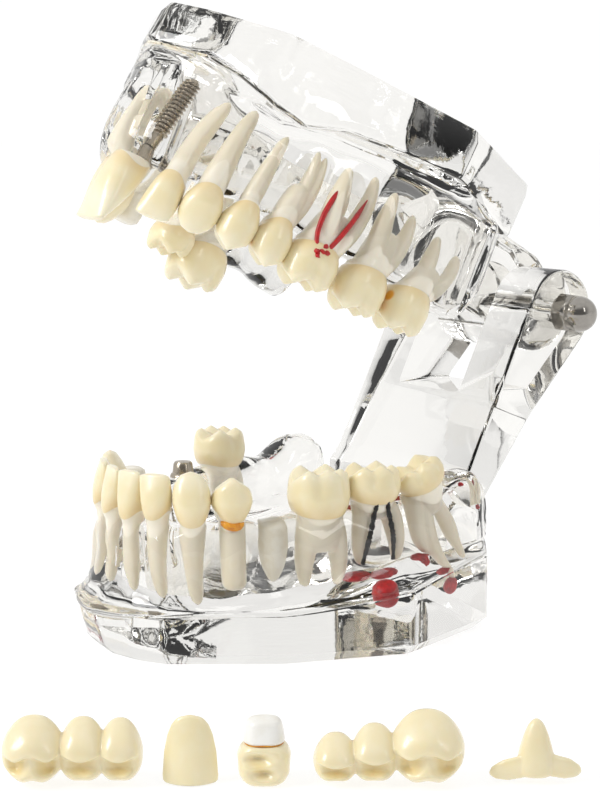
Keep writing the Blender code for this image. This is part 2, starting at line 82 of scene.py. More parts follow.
# The nodes of one material or of the world.
class Maker:
    def __init__(self, owner):
        owner.use_nodes = True
        self.owner, self.tree = owner, owner.node_tree
        self.tree.nodes.clear()

    def node(self, kind, settings=None, sockets=None):
        made = self.tree.nodes.new(kind)
        for key, value in (settings or {}).items():
            setattr(made, key, value)
        for key, value in (sockets or {}).items():
            if isinstance(value, Level):
                value = value.socket
            if isinstance(value, bpy.types.NodeSocket):
                self.tree.links.new(value, made.inputs[key])
            elif isinstance(value, tuple) and len(made.inputs[key].default_value) == 4:
                made.inputs[key].default_value = (*value, 1)
            else:
                made.inputs[key].default_value = value
        return made

    def level(self, made, output=0):
        return Level(self, made.outputs[output])

    def noise(self, scale, detail=2.0, rough=0.5):
        where = self.node("ShaderNodeTexCoord").outputs["Object"]
        return self.level(self.node("ShaderNodeTexNoise", None, {
            "Vector": where, "Scale": scale, "Detail": detail, "Roughness": rough}))

    def attribute(self, name):
        return self.level(self.node("ShaderNodeAttribute", {"attribute_name": name}), "Fac")

    def blend(self, factor, one, two):
        return self.node("ShaderNodeMix", {"data_type": "RGBA"}, {0: factor, 6: one, 7: two}).outputs[2]

    def bump(self, height, strength, distance):
        return self.node("ShaderNodeBump", None, {
            "Height": height, "Strength": strength, "Distance": distance}).outputs[0]

    def surface(self, **sockets):
        named = {key.replace("_", " "): value for key, value in sockets.items()}
        shader = self.node("ShaderNodeBsdfPrincipled", None, named)
        self.node("ShaderNodeOutputMaterial", None, {"Surface": shader.outputs[0]})
        return self.owner


def maker(name):
    return Maker(bpy.data.materials.new(name))


resinLook = dict(ior=1.49, roughness=0.010, ripple=0.045, rippleScale=170.0, tint=(0.905, 0.895, 0.868))
# the neck colour and the fissure colour are painted shade: darker toward the neck and in the fissures
toothLook = dict(enamel=(0.85, 0.745, 0.47), neckShade=(0.78, 0.62, 0.33), edge=(0.88, 0.81, 0.59),
                 root=(0.86, 0.80, 0.66), apex=(0.82, 0.75, 0.59), fissureShade=(0.55, 0.38, 0.14),
                 decay=(0.78, 0.36, 0.03), roughness=0.26, coat=0.6)


# Cast acrylic: clear glass of one index, roughness base + a little noise, normal from two sizes of slow waves.
def clearResin(name, ripple=1.0):
    m = maker(name)
    slow = m.noise(resinLook["rippleScale"], 1.0)
    fine = m.noise(resinLook["rippleScale"] * 5, 2.0)
    return m.surface(Base_Color=resinLook["tint"], Transmission_Weight=1.0, IOR=resinLook["ior"],
                     Roughness=fine * 0.02 + resinLook["roughness"],
                     Normal=m.bump(slow + fine * 0.12, resinLook["ripple"] * ripple, 0.0012))


# Colour runs root tip, root, neck, enamel, edge along the height above the neck, with painted shade darkening the neck
# band and the fissures, and orange at the stains; a fine noise mottles it, and drives roughness and bump.
def toothSurface(name, look):
    m = maker(name)
    height, groove, stain = (m.attribute(key) for key in ("enamel", "groove", "stain"))
    mottle = m.noise(420.0, 3.0)
    fine = m.noise(2600.0, 2.0)
    root = m.blend(height.step(-14.0, -1.0), look["apex"], look["root"])
    # painted shade: the crown darkens and warms toward the neck
    crown = m.blend(height.step(0.0, 3.4), look["neckShade"], look["enamel"])
    crown = m.blend(height.step(4.6, 8.6), crown, look["edge"])
    color = m.blend(height.step(-0.12, 0.10), root, crown)
    color = m.blend(mottle.step(0.35, 0.75) * 0.16, color, (0.93, 0.88, 0.76))
    # painted shade in the fissures
    color = m.blend(groove * 0.55, color, look["fissureShade"])
    color = m.blend(stain.step(0.35, 0.75), color, look["decay"])
    return m.surface(Base_Color=color, Roughness=mottle * 0.16 + look["roughness"],
                     Coat_Weight=look["coat"], Coat_Roughness=0.14, Subsurface_Weight=0.12,
                     Subsurface_Radius=(0.0020, 0.0012, 0.0006), Subsurface_Scale=1.0,
                     Normal=m.bump(mottle * 0.5 + fine * 0.12, 0.10, 0.0004))


# Bright metal: base colour broken by fine noise, roughness base + grain, tiny bump.
def metal(name, color, rough, grain):
    m = maker(name)
    noise = m.noise(grain, 3.0)
    return m.surface(Base_Color=m.blend(noise.step(0.3, 0.8), color, tuple(c * 0.82 for c in color)),
                     Metallic=1.0, Roughness=noise * 0.14 + rough, Normal=m.bump(noise, 0.06, 0.0002))


# Paint or wax: two tones mixed by noise, with a bump of the same noise.
def paint(name, color, dark, rough, scale, bumpy, coat=0.2):
    m = maker(name)
    noise = m.noise(scale, 4.0, 0.6)
    return m.surface(Base_Color=m.blend(noise.step(0.35, 0.7), dark, color), Coat_Weight=coat,
                     Roughness=noise * 0.2 + rough, Normal=m.bump(noise, bumpy, 0.0006))


looks = {
    "resin": clearResin("resinClear"),
    "plate": clearResin("resinPlate", 0.35),
    "tooth": toothSurface("toothIvory", toothLook),
    # the loose pieces: a lighter painted pit shade and no painted neck shade
    "bridge": toothSurface("bridgeIvory", dict(toothLook, fissureShade=(0.84, 0.66, 0.27), neckShade=toothLook["enamel"])),
    "pale": paint("stumpPale", (0.86, 0.83, 0.74), (0.80, 0.75, 0.63), 0.3, 500.0, 0.06),
    "core": paint("coreWhite", (0.90, 0.89, 0.85), (0.86, 0.84, 0.78), 0.3, 500.0, 0.05),
    "titanium": metal("implantMetal", (0.42, 0.37, 0.30), 0.16, 1500.0),
    "nickel": metal("nutNickel", (0.36, 0.34, 0.31), 0.05, 700.0),
    "red": paint("lesionRed", (0.50, 0.003, 0.006), (0.30, 0.001, 0.003), 0.35, 900.0, 0.5, 0.1),
    "canal": paint("canalRed", (0.54, 0.002, 0.004), (0.38, 0.001, 0.003), 0.35, 1200.0, 0.2),
    "black": paint("canalBlack", (0.02, 0.02, 0.02), (0.008, 0.008, 0.008), 0.5, 1600.0, 0.5, 0.0),
    "amber": paint("cariesAmber", (0.80, 0.36, 0.02), (0.60, 0.20, 0.01), 0.35, 900.0, 0.4),
}
print("materials made")


# grid surfaces in millimetres
def eased(t):
    t = np.clip(t, 0, 1)
    return t * t * (3 - 2 * t)


# x, y and z of a grid, each spread to the whole grid, as points.
def ringed(rows):
    return np.stack(np.broadcast_arrays(*rows), -1)


# Rows of rings, columns running round; a fan to the middle of the first and last ring shuts the ends,
# or one flat face each where a ring isn't round.
def closedGrid(points, flatEnds=False):
    rows, cols = points.shape[:2]
    i, j = np.meshgrid(np.arange(rows - 1), np.arange(cols), indexing="ij")
    k = (j + 1) % cols
    quads = np.stack([i * cols + j, i * cols + k, (i + 1) * cols + k, (i + 1) * cols + j], -1).reshape(-1, 4)
    j = np.arange(cols)
    k = (j + 1) % cols
    if flatEnds:
        return points.reshape(-1, 3), quads.tolist() + [j[::-1].tolist(), (j + (rows - 1) * cols).tolist()]
    low, high = rows * cols, rows * cols + 1
    fans = np.vstack([np.stack([k, j, np.full(cols, low)], 1),
                      np.stack([(rows - 1) * cols + j, (rows - 1) * cols + k, np.full(cols, high)], 1)])
    verts = np.vstack([points.reshape(-1, 3), points[0].mean(0), points[-1].mean(0)])
    return verts, quads.tolist() + fans.tolist()


def joined(shapes):
    verts, faces, start = [], [], 0
    for points, polygons in shapes:
        verts.append(points)
        faces += [[start + v for v in polygon] for polygon in polygons]
        start += len(points)
    return np.vstack(verts), faces


# Points turned about the hinge, from the closed jaw to where it stands: y cos + z sin, z cos - y sin.
def opened(points, angle=openAngle):
    y, z = points[..., 1] - hinge[1], points[..., 2] - hinge[2]
    c, s = math.cos(angle), math.sin(angle)
    return np.stack([points[..., 0], hinge[1] + y * c + z * s, hinge[2] - y * s + z * c], -1)


def linked(name, data):
    obj = bpy.data.objects.new(name, data)
    bpy.context.scene.collection.objects.link(obj)
    return obj


# Shapes in closed-jaw millimetres made one mesh, in metres, where the jaw stands.
def rawPiece(name, shapes, upper=False):
    points, faces = joined(shapes)
    points = opened(points) if upper else points
    mesh = bpy.data.meshes.new(name)
    mesh.from_pydata((points * mm).tolist(), [], faces)
    work = bmesh.new()
    work.from_mesh(mesh)
    bmesh.ops.remove_doubles(work, verts=work.verts, dist=1e-7)
    bmesh.ops.recalc_face_normals(work, faces=work.faces)
    work.to_mesh(mesh)
    work.free()
    return linked(name, mesh)


def applied(obj):
    graph = bpy.context.evaluated_depsgraph_get()
    mesh = bpy.data.meshes.new_from_object(obj.evaluated_get(graph))
    obj.modifiers.clear()
    obj.data = mesh
    return obj


# One skin round overlapping shells, its steps smoothed away.
def fused(obj, voxel, smooth=2):
    skin = obj.modifiers.new("fuse", "REMESH")
    skin.mode, skin.voxel_size = "VOXEL", voxel * mm
    soft = obj.modifiers.new("soften", "SMOOTH")
    soft.factor, soft.iterations = 0.5, smooth
    return applied(obj)


def combined(obj, others, operation="UNION"):
    for other in others:
        cut = obj.modifiers.new("join", "BOOLEAN")
        cut.operation, cut.solver, cut.object = operation, "EXACT", other
    applied(obj)
    for other in others:
        bpy.data.objects.remove(other, do_unlink=True)
    return obj


def settled(obj, look, body, nodes=(), sharp=None):
    obj.data.materials.clear()
    obj.data.materials.append(looks[look])
    obj.data.shade_smooth()
    if sharp:
        obj.data.set_sharp_from_angle(angle=math.radians(sharp))
    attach(obj, body)
    if nodes:
        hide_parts(*nodes)
    if look in ("resin", "plate"):
        obj.visible_shadow = False  # clear resin hardly dims the light behind it
    return obj


def meshPoints(obj):
    points = np.empty(len(obj.data.vertices) * 3)
    obj.data.vertices.foreach_get("co", points)
    return points.reshape(-1, 3) / mm


# One number on each vertex under each name, for the materials to read.
def storeLevels(obj, **levels):
    for key, values in levels.items():
        obj.data.attributes.new(key, "FLOAT", "POINT").data.foreach_set("value", values.astype(np.float32))


def mirrored(half):
    return [(-x, y) for x, y in half[:0:-1]] + list(half)


# Evenly spaced points along a path whose corners are averaged down, and the heading at each.
def evenPath(path, count, rounds=60):
    path = np.asarray(path, float)
    for turn in range(rounds + 1):
        leg = np.r_[0, np.cumsum(np.hypot(*np.diff(path, axis=0).T))]
        s = np.linspace(0, leg[-1], 400 if turn < rounds else count)
        if turn in (0, rounds):
            path = np.stack([np.interp(s, leg, path[:, i]) for i in (0, 1)], 1)
        else:
            path[1:-1] = (path[:-2] + 2 * path[1:-1] + path[2:]) / 4
    run = np.gradient(path, axis=0)
    return path, run / np.linalg.norm(run, axis=1)[:, None]


def rounded(points, soften):
    for turn in range(soften):
        points = (np.roll(points, 1, 0) + 2 * points + np.roll(points, -1, 0)) / 4
    return points


# A closed outline of straight edges in even steps, its corners rounded by averaging; at(inset) moves each
# edge inward by inset and keeps the steps matched.
class Outline:
    def __init__(self, corners, count=420, soften=4):
        self.corners, self.soften = np.array(corners, float), soften
        ahead = np.roll(self.corners, -1, 0)
        run = ahead - self.corners
        length = np.linalg.norm(run, axis=1)
        area = np.sum(self.corners[:, 0] * ahead[:, 1] - ahead[:, 0] * self.corners[:, 1])
        run /= length[:, None]
        self.out = np.stack([run[:, 1], -run[:, 0]], 1) * np.sign(area)
        leg = np.r_[0, np.cumsum(length)]
        s = np.linspace(0, leg[-1], count, endpoint=False)
        self.edge = np.searchsorted(leg, s, side="right") - 1
        self.share = ((s - leg[self.edge]) / length[self.edge])[:, None]
        self.points = self.at(0)
        run = np.roll(self.points, -1, 0) - np.roll(self.points, 1, 0)
        run /= np.linalg.norm(run, axis=1)[:, None]
        self.normals = np.stack([run[:, 1], -run[:, 0]], 1) * np.sign(area)

    def at(self, inset):
        back = np.roll(self.out, 1, 0)
        moved = self.corners - inset * (self.out + back) / (1 + (self.out * back).sum(1))[:, None]
        ahead = np.roll(moved, -1, 0)
        return rounded(moved[self.edge] * (1 - self.share) + ahead[self.edge] * self.share, self.soften)


# The outline stacked through (inset, height, outward flare) levels; heights and flares may vary round it.
def layered(outline, levels, order=(0, 1, 2), flatEnds=False):
    rows = []
    for inset, high, *flare in levels:
        moved = outline.at(inset)
        if flare:
            moved = moved + outline.normals * np.reshape(flare[0], (-1, 1))
        rows.append(np.c_[moved, np.broadcast_to(high, len(moved))])
    return closedGrid(np.stack(rows)[..., list(order)], flatEnds)


# Chaikin: each closed section's corners cut at a quarter, turn by turn.
def cutCorners(section, turns=2):
    for turn in range(turns):
        ahead = np.roll(section, -1, axis=1)
        section = np.stack([section * 0.75 + ahead * 0.25, section * 0.25 + ahead * 0.75], 2)
        section = section.reshape(section.shape[0], -1, 2)
    return section


# Sections of (outward, height) stood across a path on the ground.
def swept(path, run, section):
    out, high = section[..., 0], section[..., 1]
    x = path[:, None, 0] + run[:, None, 1] * out
    y = path[:, None, 1] - run[:, None, 0] * out
    return closedGrid(np.stack([x, y, high], -1), True)


# Circles of the given radii carried along a path in space.
def tube(path, radii, sides=12, flat=1.0):
    path = np.asarray(path, float)
    radii = np.broadcast_to(radii, len(path))
    run = np.gradient(path, axis=0)
    run /= np.linalg.norm(run, axis=1)[:, None]
    side = np.cross(run, (0.31, 0.17, 0.93) if abs(run[0, 2]) < 0.8 else (0.9, 0.3, 0.1))
    side /= np.linalg.norm(side, axis=1)[:, None]
    lift = np.cross(run, side)
    t = np.linspace(0, 2 * math.pi, sides, endpoint=False)
    ring = side[:, None] * np.cos(t)[None, :, None] + lift[:, None] * np.sin(t)[None, :, None] * flat
    return closedGrid(path[:, None] + ring * radii[:, None, None])


# A smooth path through a few points: straight steps, rounded by averaging, ends held.
def curveThrough(points, count=30):
    points = np.asarray(points, float)
    leg = np.linspace(0, 1, len(points))
    s = np.linspace(0, 1, count)
    path = np.stack([np.interp(s, leg, points[:, i]) for i in range(3)], 1)
    for turn in range(count // 2):
        path[1:-1] = (path[:-2] + 2 * path[1:-1] + path[2:]) / 4
    return path


# A ball with three half sizes, its radius waved by a few sines of its direction.
def lump(centre, size, rough=0.08, seed=1, rings=24, sides=32):
    v = np.linspace(0.02, math.pi - 0.02, rings)[:, None]
    u = np.linspace(0, 2 * math.pi, sides, endpoint=False)[None, :]
    d = ringed([np.sin(v) * np.cos(u), np.sin(v) * np.sin(u), np.cos(v)])
    wave = np.zeros(d.shape[:2])
    draws = np.random.default_rng(seed)
    for k in range(7):
        way = draws.normal(size=3) * (1.6 + 0.7 * k)
        wave += np.sin(d @ way + draws.uniform(0, 6.28)) / (1 + 0.5 * k)
    return closedGrid(np.asarray(centre) + d * np.asarray(size) * (1 + rough * wave)[..., None])


# arches
arches = dict(
    lower=[(0, -28.9), (2.7, -28.5), (8.1, -26.9), (12.7, -22.6), (16.1, -16.6), (18.8, -10.0),
           (21.4, -1.3), (24.0, 9.3), (26.0, 19.7), (26.4, 25.0)],
    upper=[(0, -33.4), (4.3, -32.8), (10.6, -28.8), (14.6, -22.9), (17.8, -16.3), (20.1, -9.9),
           (22.6, -1.7), (25.1, 8.0), (27.1, 17.3), (27.6, 23.0)])

# teeth
# rows of (share of height, half width, half depth, outward shift), shares of the tooth's width and depth
crownRows = {
    "incisor": [(0, .39, .42, 0), (.12, .425, .455, .0), (.35, .46, .43, .0), (.6, .49, .33, .01),
                (.85, .50, .19, .03), (1, .485, .10, .05)],
    "canine": [(0, .39, .43, 0), (.15, .44, .48, .0), (.4, .485, .47, .01), (.65, .475, .36, .02),
               (.85, .40, .25, .03), (1, .26, .14, .04)],
    "premolar": [(0, .38, .41, 0), (.18, .45, .47, 0), (.45, .50, .50, 0), (.72, .49, .465, 0),
                 (.9, .46, .43, 0), (1, .42, .385, 0)],
    "molar": [(0, .42, .42, 0), (.18, .47, .475, 0), (.45, .50, .50, 0), (.72, .49, .47, 0),
              (.9, .475, .45, 0), (1, .45, .41, 0)],
}
# cusp tips as (along, outward, height below the tallest), shares of half width and half depth, millimetres
cuspTips = {
    "incisor": [],
    "canine": [],
    "premolar": [(0, .50, 0), (.05, -.46, .7)],
    "molarLower": [(-.52, .50, .1), (.10, .56, 0), (.60, .34, .3), (-.45, -.50, 0), (.42, -.50, .1)],
    "molarUpper": [(-.46, .52, 0), (.42, .50, .2), (-.34, -.50, .1), (.48, -.46, .7)],
}
grooveTurns = {"premolar": [], "molarLower": [1.83, 0.86, -1.6], "molarUpper": [1.58, -1.35]}
# the fissure width sets how wide the painted fissure shade is
toothShape = dict(around=72, crownSteps=26, rootSteps=30, cuspSlope=0.72, cuspSoft=6.0, lobe=0.085,
                  squareness=0.86, scallop=0.75, neckGap=0.22, neckReach=2.4,
                  lobeTurn=0.20, fissureShade=0.22, biteSteps=14, trunkSteps=14, edgeDip=0.45, canineDip=0.2,
                  canineTip=0.7, rootDeep=1.12, rootBend=0.05, voxel=0.24)
# radii down a root: shares of the tooth's width for a single one, millimetres on a 9 mm molar for one of several
rootRows = dict(single=([0, .25, .6, .85, .95, .985, 1], [.355, .34, .275, .20, .135, .08, .03]),
                blunt=([0, .2, .9, .97, 1], [.36, .34, .34, .28, .12]),
                several=([0, .25, .6, .85, .95, .99, 1], [1.85, 1.75, 1.45, 1.0, .7, .35, .12]))


# The table's columns at each share, its corners averaged so that the profile runs smooth.
def rowsAt(table, share):
    fine = np.linspace(0, 1, 241)
    table = np.array(table)
    columns = []
    for k in range(1, table.shape[1]):
        line = np.interp(fine, table[:, 0], table[:, k])
        for turn in range(2):
            padded = np.r_[2 * line[0] - line[10:0:-1], line, 2 * line[-1] - line[-2:-12:-1]]
            line = np.convolve(padded, np.ones(21) / 21, "valid")
        columns.append(np.interp(share, fine, line))
    return columns


# Height of the biting face against its tallest cusp: the soft maximum of cones on the cusp tips.
# Also how near the point is to a fissure, where two cones meet, which places the painted fissure shade.
def cuspField(kind, u, w, wide, deep):
    tips = cuspTips[kind]
    if not tips:
        return np.zeros_like(u), np.zeros_like(u)
    cones = np.stack([-drop - toothShape["cuspSlope"] * np.hypot(u - a * wide / 2, w - b * deep / 2)
                      for a, b, drop in tips], -1)
    soft = toothShape["cuspSoft"]
    field = np.log(np.exp(cones * soft).sum(-1)) / soft
    ordered = np.sort(cones, -1)
    return field, np.exp(-((ordered[..., -1] - ordered[..., -2]) / toothShape["fissureShade"]) ** 2)


# One tooth's own frame: along the arch, outward, and up from its neck; tilt leans it along the arch.
class Tooth:
    def __init__(self, spec):
        self.__dict__.update(spec)
        arch = np.array(mirrored(arches["upper" if self.upper else "lower"]), float)
        near = int(np.linalg.norm(arch - np.array(self.place), axis=1).argmin())
        run = arch[min(near + 1, len(arch) - 1)] - arch[max(near - 1, 0)]
        run = run / np.linalg.norm(run)
        turn = math.radians(self.spin)
        run = np.array([run[0] * math.cos(turn) - run[1] * math.sin(turn),
                        run[0] * math.sin(turn) + run[1] * math.cos(turn)])
        self.along = np.array([run[0], run[1], 0]) * (-1 if self.place[0] < 0 else 1)
        self.out = np.array([run[1], -run[0], 0])
        self.up = 1 if self.bite > self.neck else -1
        self.tall = abs(self.bite - self.neck)
        self.home = np.array([*self.place, self.neck])

    def toWorld(self, u, w, h):
        c, s = math.cos(self.tilt), math.sin(self.tilt)
        u, h = u * c - h * s, u * s + h * c
        rise = h[..., None] * np.array([0, 0, self.up])
        return self.home + u[..., None] * self.along + w[..., None] * self.out + rise

    def toLocal(self, points):
        d = points - self.home
        u, w, h = d @ self.along, d @ self.out, d[..., 2] * self.up
        c, s = math.cos(self.tilt), math.sin(self.tilt)
        return u * c + h * s, w, -u * s + h * c

    # The root's slant grows toward its tip; the crown carries on with part of it.
    def slant(self, h):
        return h * (0.55 + 0.45 * np.clip(-h / self.rootLength, 0, 1))


def toothSpec(name, place, kind, wide, deep, neck, bite, roots, upper=False, spin=0.0, tilt=0.0, stains=(),
              blunt=0.0, trunk=3.4, slim=0.9):
    return Tooth(dict(name=name, place=place, kind=kind, wide=wide, deep=deep, neck=neck, bite=bite,
                      roots=roots, upper=upper, spin=spin, tilt=math.radians(tilt), stains=stains,
                      blunt=blunt, trunk=trunk, slim=slim))


# Rings round the tooth: half sizes from the tables, corners squared, cusps raised by the cusp field, lobes
# pressed in between the cusps, the neck waved; several roots are separate tapering tubes.
def toothShapes(t):
    shape = toothShape
    a0 = np.linspace(0, 2 * math.pi, shape["around"], endpoint=False)
    c, s = np.cos(a0), np.sin(a0)
    cs = np.sign(c) * np.abs(c) ** shape["squareness"]
    sn = np.sign(s) * np.abs(s) ** shape["squareness"]
    base = "molar" if t.kind.startswith("molar") else t.kind
    tips = [t.toLocal(np.array(root, float)) for root in t.roots]
    single = len(tips) == 1
    if single:
        u, w, h = (float(v) for v in tips[0])
        t.slope, t.rootLength = (u / h, w / h), -h
    else:
        t.slope, t.rootLength = (0.0, 0.0), 10.0
    rows = []
    # crown wall
    share = np.linspace(0, 1, shape["crownSteps"])
    a, b, out = rowsAt(crownRows[base], share)
    topA, topB, topOut = a[-1] * t.wide, b[-1] * t.deep, out[-1] * t.deep
    u1, w1 = topA * cs, topB * sn
    rise, _ = cuspField(t.kind, u1, w1, t.wide, t.deep)
    lobes = np.zeros_like(a0)
    for turn in grooveTurns.get(t.kind, []):
        away = np.angle(np.exp(1j * (a0 - turn)))
        lobes += np.exp(-(away / shape["lobeTurn"]) ** 2)
    if base == "incisor":
        rise = -shape["edgeDip"] * np.abs(cs) ** 4
    if base == "canine":
        rise = -shape["canineDip"] * np.ones_like(cs)
    for k, sh in enumerate(share):
        press = 1 - shape["lobe"] * lobes * eased((sh - 0.25) / 0.5)
        uu, ww = a[k] * t.wide * cs * press, b[k] * t.deep * sn * press + out[k] * t.deep
        h = sh * (t.tall + rise)
        rows.append((uu, ww, h))
    # biting face
    for rho in np.linspace(0.93, 0.04, shape["biteSteps"]):
        uu, ww = topA * cs * rho, topB * sn * rho
        if t.kind == "canine":
            h = t.tall - shape["canineDip"] + shape["canineTip"] * (1 - rho) ** 0.8
        elif t.kind == "incisor":
            h = t.tall - shape["edgeDip"] * np.abs(cs * rho) ** 4 + 0.12 * (1 - rho)
        else:
            h = t.tall + cuspField(t.kind, uu, ww, t.wide, t.deep)[0]
        rows.append((uu, ww + topOut, h))
    # neck and root, or trunk
    neckGap = shape["neckGap"]
    below = []
    if single:
        length = t.rootLength
        for sh in np.linspace(0.0, 1.0, shape["rootSteps"]):
            taper = np.interp(sh, *rootRows["single"])
            post = np.interp(sh, *rootRows["blunt"])
            wideHere = (taper + (post - taper) * t.blunt) * (1 - (1 - t.slim) * eased(sh / 0.08))
            bend = shape["rootBend"] * length * max(sh - 0.45, 0) ** 2
            below.append((wideHere * t.wide * cs + bend, wideHere * shape["rootDeep"] * t.deep * sn,
                          -neckGap - sh * (length - neckGap)))
    else:
        middle = np.mean(tips, axis=0)
        for sh in np.linspace(0.0, 1.0, shape["trunkSteps"]):
            keep = math.sqrt(max(1 - sh ** 2.2, 0.0)) * 0.25 + 0.75 * (1 - 0.25 * sh)
            lean = sh * t.trunk / -middle[2]
            below.append((.385 * t.wide * cs * keep + middle[0] * lean,
                          .375 * t.deep * sn * keep + middle[1] * lean, -neckGap - sh * t.trunk))
        lean = t.trunk / -middle[2]
        below.append((.10 * t.wide * cs + middle[0] * lean, .10 * t.deep * sn + middle[1] * lean, -t.trunk - 0.6))
    rows = below[::-1] + rows
    grid = []
    for uu, ww, h in rows:
        h = h + neckWave(t, cs, sn) * np.exp(-(h / shape["neckReach"]) ** 2)
        if single:
            uu, ww = uu + t.slope[0] * t.slant(h), ww + t.slope[1] * t.slant(h)
        grid.append(t.toWorld(uu, ww, h))
    shapes = [closedGrid(np.stack(grid))]
    if not single:
        for u, w, h in tips:
            u, w, h = float(u), float(w), float(h)
            path = curveThrough([t.toWorld(*map(np.array, p)) for p in (
                (0.52 * u, 0.45 * w, -0.6), (0.92 * u, 0.85 * w, 0.33 * h), (1.08 * u, w, 0.7 * h), (u, w, h))])
            sh = np.linspace(0, 1, len(path))
            shapes.append(tube(path, np.interp(sh, *rootRows["several"]) * t.wide / 9 * t.slim, 20, 1.3))
    return shapes


def neckWave(t, cs, sn):
    size = toothShape["scallop"] * (0.45 if t.kind.startswith("molar") else 1.0)
    return size * (np.abs(cs) ** 2 - np.abs(sn) ** 2)


# Stores on each vertex its height above the neck line, its painted shade in the fissures and its stain.
def paintTooth(obj, t):
    points = meshPoints(obj)
    if t.upper:
        points = opened(points, -openAngle)
    u, w, h = t.toLocal(points)
    u, w = u - t.slope[0] * t.slant(h), w - t.slope[1] * t.slant(h)
    angle = np.arctan2(w / t.deep, u / t.wide)
    enamel = h - neckWave(t, np.cos(angle), np.sin(angle)) * np.exp(-(h / toothShape["neckReach"]) ** 2)
    _, near = cuspField(t.kind, u, w, t.wide, t.deep)
    inside = eased((1.02 - np.hypot(u / (0.40 * t.wide), w / (0.36 * t.deep))) / 0.2)
    # painted shade: near a fissure, inside the biting face, on the upper part of the crown
    groove = near * inside * eased((h / t.tall - 0.55) / 0.2)
    stain = np.zeros(len(u))
    for su, sw, sh, size in t.stains:
        stain = np.maximum(stain, np.exp(-((u - su) ** 2 + (w - sw) ** 2 + (h - sh) ** 2) / size ** 2))
    storeLevels(obj, enamel=enamel, groove=groove, stain=stain)


def makeTooth(t):
    obj = rawPiece(t.name + "_look", toothShapes(t), t.upper)
    if len(t.roots) > 1:
        fused(obj, toothShape["voxel"], 3)
    paintTooth(obj, t)
    settled(obj, "tooth", "upper_jaw" if t.upper else "lower_jaw", (t.name,))


lowerTeeth = [
    toothSpec("tooth_LL1", (2.7, -28.5), "incisor", 5.3, 6.0, 25.6, 33.4, [(2.9, -27.2, 11.0)]),
    toothSpec("tooth_LL2", (8.1, -26.9), "incisor", 5.9, 6.2, 26.2, 33.4, [(8.0, -25.4, 10.7)]),
    toothSpec("tooth_LL3", (12.7, -22.6), "canine", 7.0, 7.6, 25.2, 33.6, [(12.2, -21.4, 9.8)]),
    toothSpec("tooth_LL4", (16.1, -16.6), "premolar", 7.4, 7.6, 25.8, 33.1, [(15.8, -16.2, 12.6)], blunt=0.9),
    toothSpec("tooth_LL6", (21.4, -1.3), "molarLower", 11.2, 10.2, 25.2, 33.8,
              [(20.3, -4.2, 11.8), (21.9, 1.6, 11.3)], trunk=6.2),
    toothSpec("tooth_LL7", (24.0, 8.8), "molarLower", 10.4, 9.6, 26.9, 33.6,
              [(23.2, 6.2, 14.9), (24.8, 12.4, 14.9)]),
    toothSpec("tooth_LL8", (25.4, 19.8), "molarLower", 9.8, 8.8, 28.4, 33.4,
              [(26.0, 19.6, 15.6), (26.2, 24.0, 10.2), (26.2, 27.6, 13.2)], tilt=27.0, trunk=5.0),
    toothSpec("tooth_LR1", (-2.7, -28.5), "incisor", 5.3, 6.0, 25.6, 33.4, [(-2.9, -27.2, 11.0)]),
    toothSpec("tooth_LR2", (-8.1, -26.9), "incisor", 5.9, 6.2, 26.0, 33.6, [(-8.0, -25.4, 10.7)]),
    toothSpec("tooth_LR3", (-12.7, -22.6), "canine", 7.0, 7.6, 24.0, 33.6, [(-12.2, -21.4, 9.8)]),
    toothSpec("tooth_LR7", (-24.0, 9.3), "molarLower", 10.4, 9.6, 26.2, 33.6,
              [(-23.2, 6.2, 14.9), (-24.8, 12.4, 14.9)]),
]
upperTeeth = [
    toothSpec("tooth_UL2", (11.1, -27.6), "incisor", 6.3, 6.6, 40.9, 32.8, [(11.3, -23.4, 57.1)], True),
    toothSpec("tooth_UL3", (14.9, -22.5), "canine", 7.4, 7.9, 41.2, 33.6, [(16.2, -21.1, 57.4)], True),
    toothSpec("tooth_UL4", (17.8, -16.3), "premolar", 7.0, 8.6, 41.2, 32.8, [(20.0, -15.8, 55.2)], True, slim=0.72,
              stains=((3.4, 0.4, 5.2, 1.1),)),
    toothSpec("tooth_UL5", (19.9, -10.3), "premolar", 6.9, 8.6, 41.2, 32.8,
              [(21.8, -9.6, 55.4), (22.2, -8.2, 55.0)], True, trunk=7.0, slim=0.8, stains=((3.4, 0.6, 5.0, 1.2),)),
    toothSpec("tooth_UL6", (22.4, -2.8), "molarUpper", 10.2, 10.2, 40.4, 32.5,
              [(24.8, -4.2, 55.2), (25.2, 1.2, 56.2), (20.4, -1.4, 55.0)], True,
              stains=((4.9, 1.2, 5.0, 1.2),), trunk=6.5),
    toothSpec("tooth_UL7", (24.9, 7.4), "molarUpper", 9.6, 10.0, 40.8, 32.5,
              [(27.0, 5.4, 55.3), (27.0, 10.3, 53.4), (23.0, 8.0, 54.0)], True,
              stains=((4.8, 1.6, 4.2, 1.5),), trunk=7.5),
    toothSpec("tooth_UL8", (26.9, 16.7), "molarUpper", 9.2, 9.6, 41.4, 33.2,
              [(28.0, 16.9, 52.4), (28.0, 21.8, 51.2)], True, stains=((-4.4, 1.6, 2.6, 1.3),), trunk=5.0),
    toothSpec("tooth_UR1", (-4.1, -29.3), "incisor", 8.0, 6.8, 42.0, 31.0, [(-4.4, -23.6, 57.4)], True, spin=12,
              slim=0.8),
    toothSpec("tooth_UR3", (-14.9, -22.5), "canine", 7.4, 7.9, 41.4, 33.9, [(-16.0, -21.1, 57.4)], True),
    toothSpec("tooth_UR6", (-22.4, -2.2), "molarUpper", 8.2, 9.0, 42.0, 36.2,
              [(-25.0, -3.2, 55.2), (-25.0, 2.1, 56.6), (-20.4, -0.6, 55.0)], True),
    toothSpec("tooth_UR7", (-24.5, 6.8), "molarUpper", 12.4, 10.2, 42.2, 33.2,
              [(-27.0, 5.6, 55.3), (-27.0, 10.5, 53.4), (-23.0, 8.2, 54.0)], True),
]
byName = {t.name: t for t in lowerTeeth + upperTeeth}
for t in byName.values():
    makeTooth(t)
print(len(byName), "teeth made")

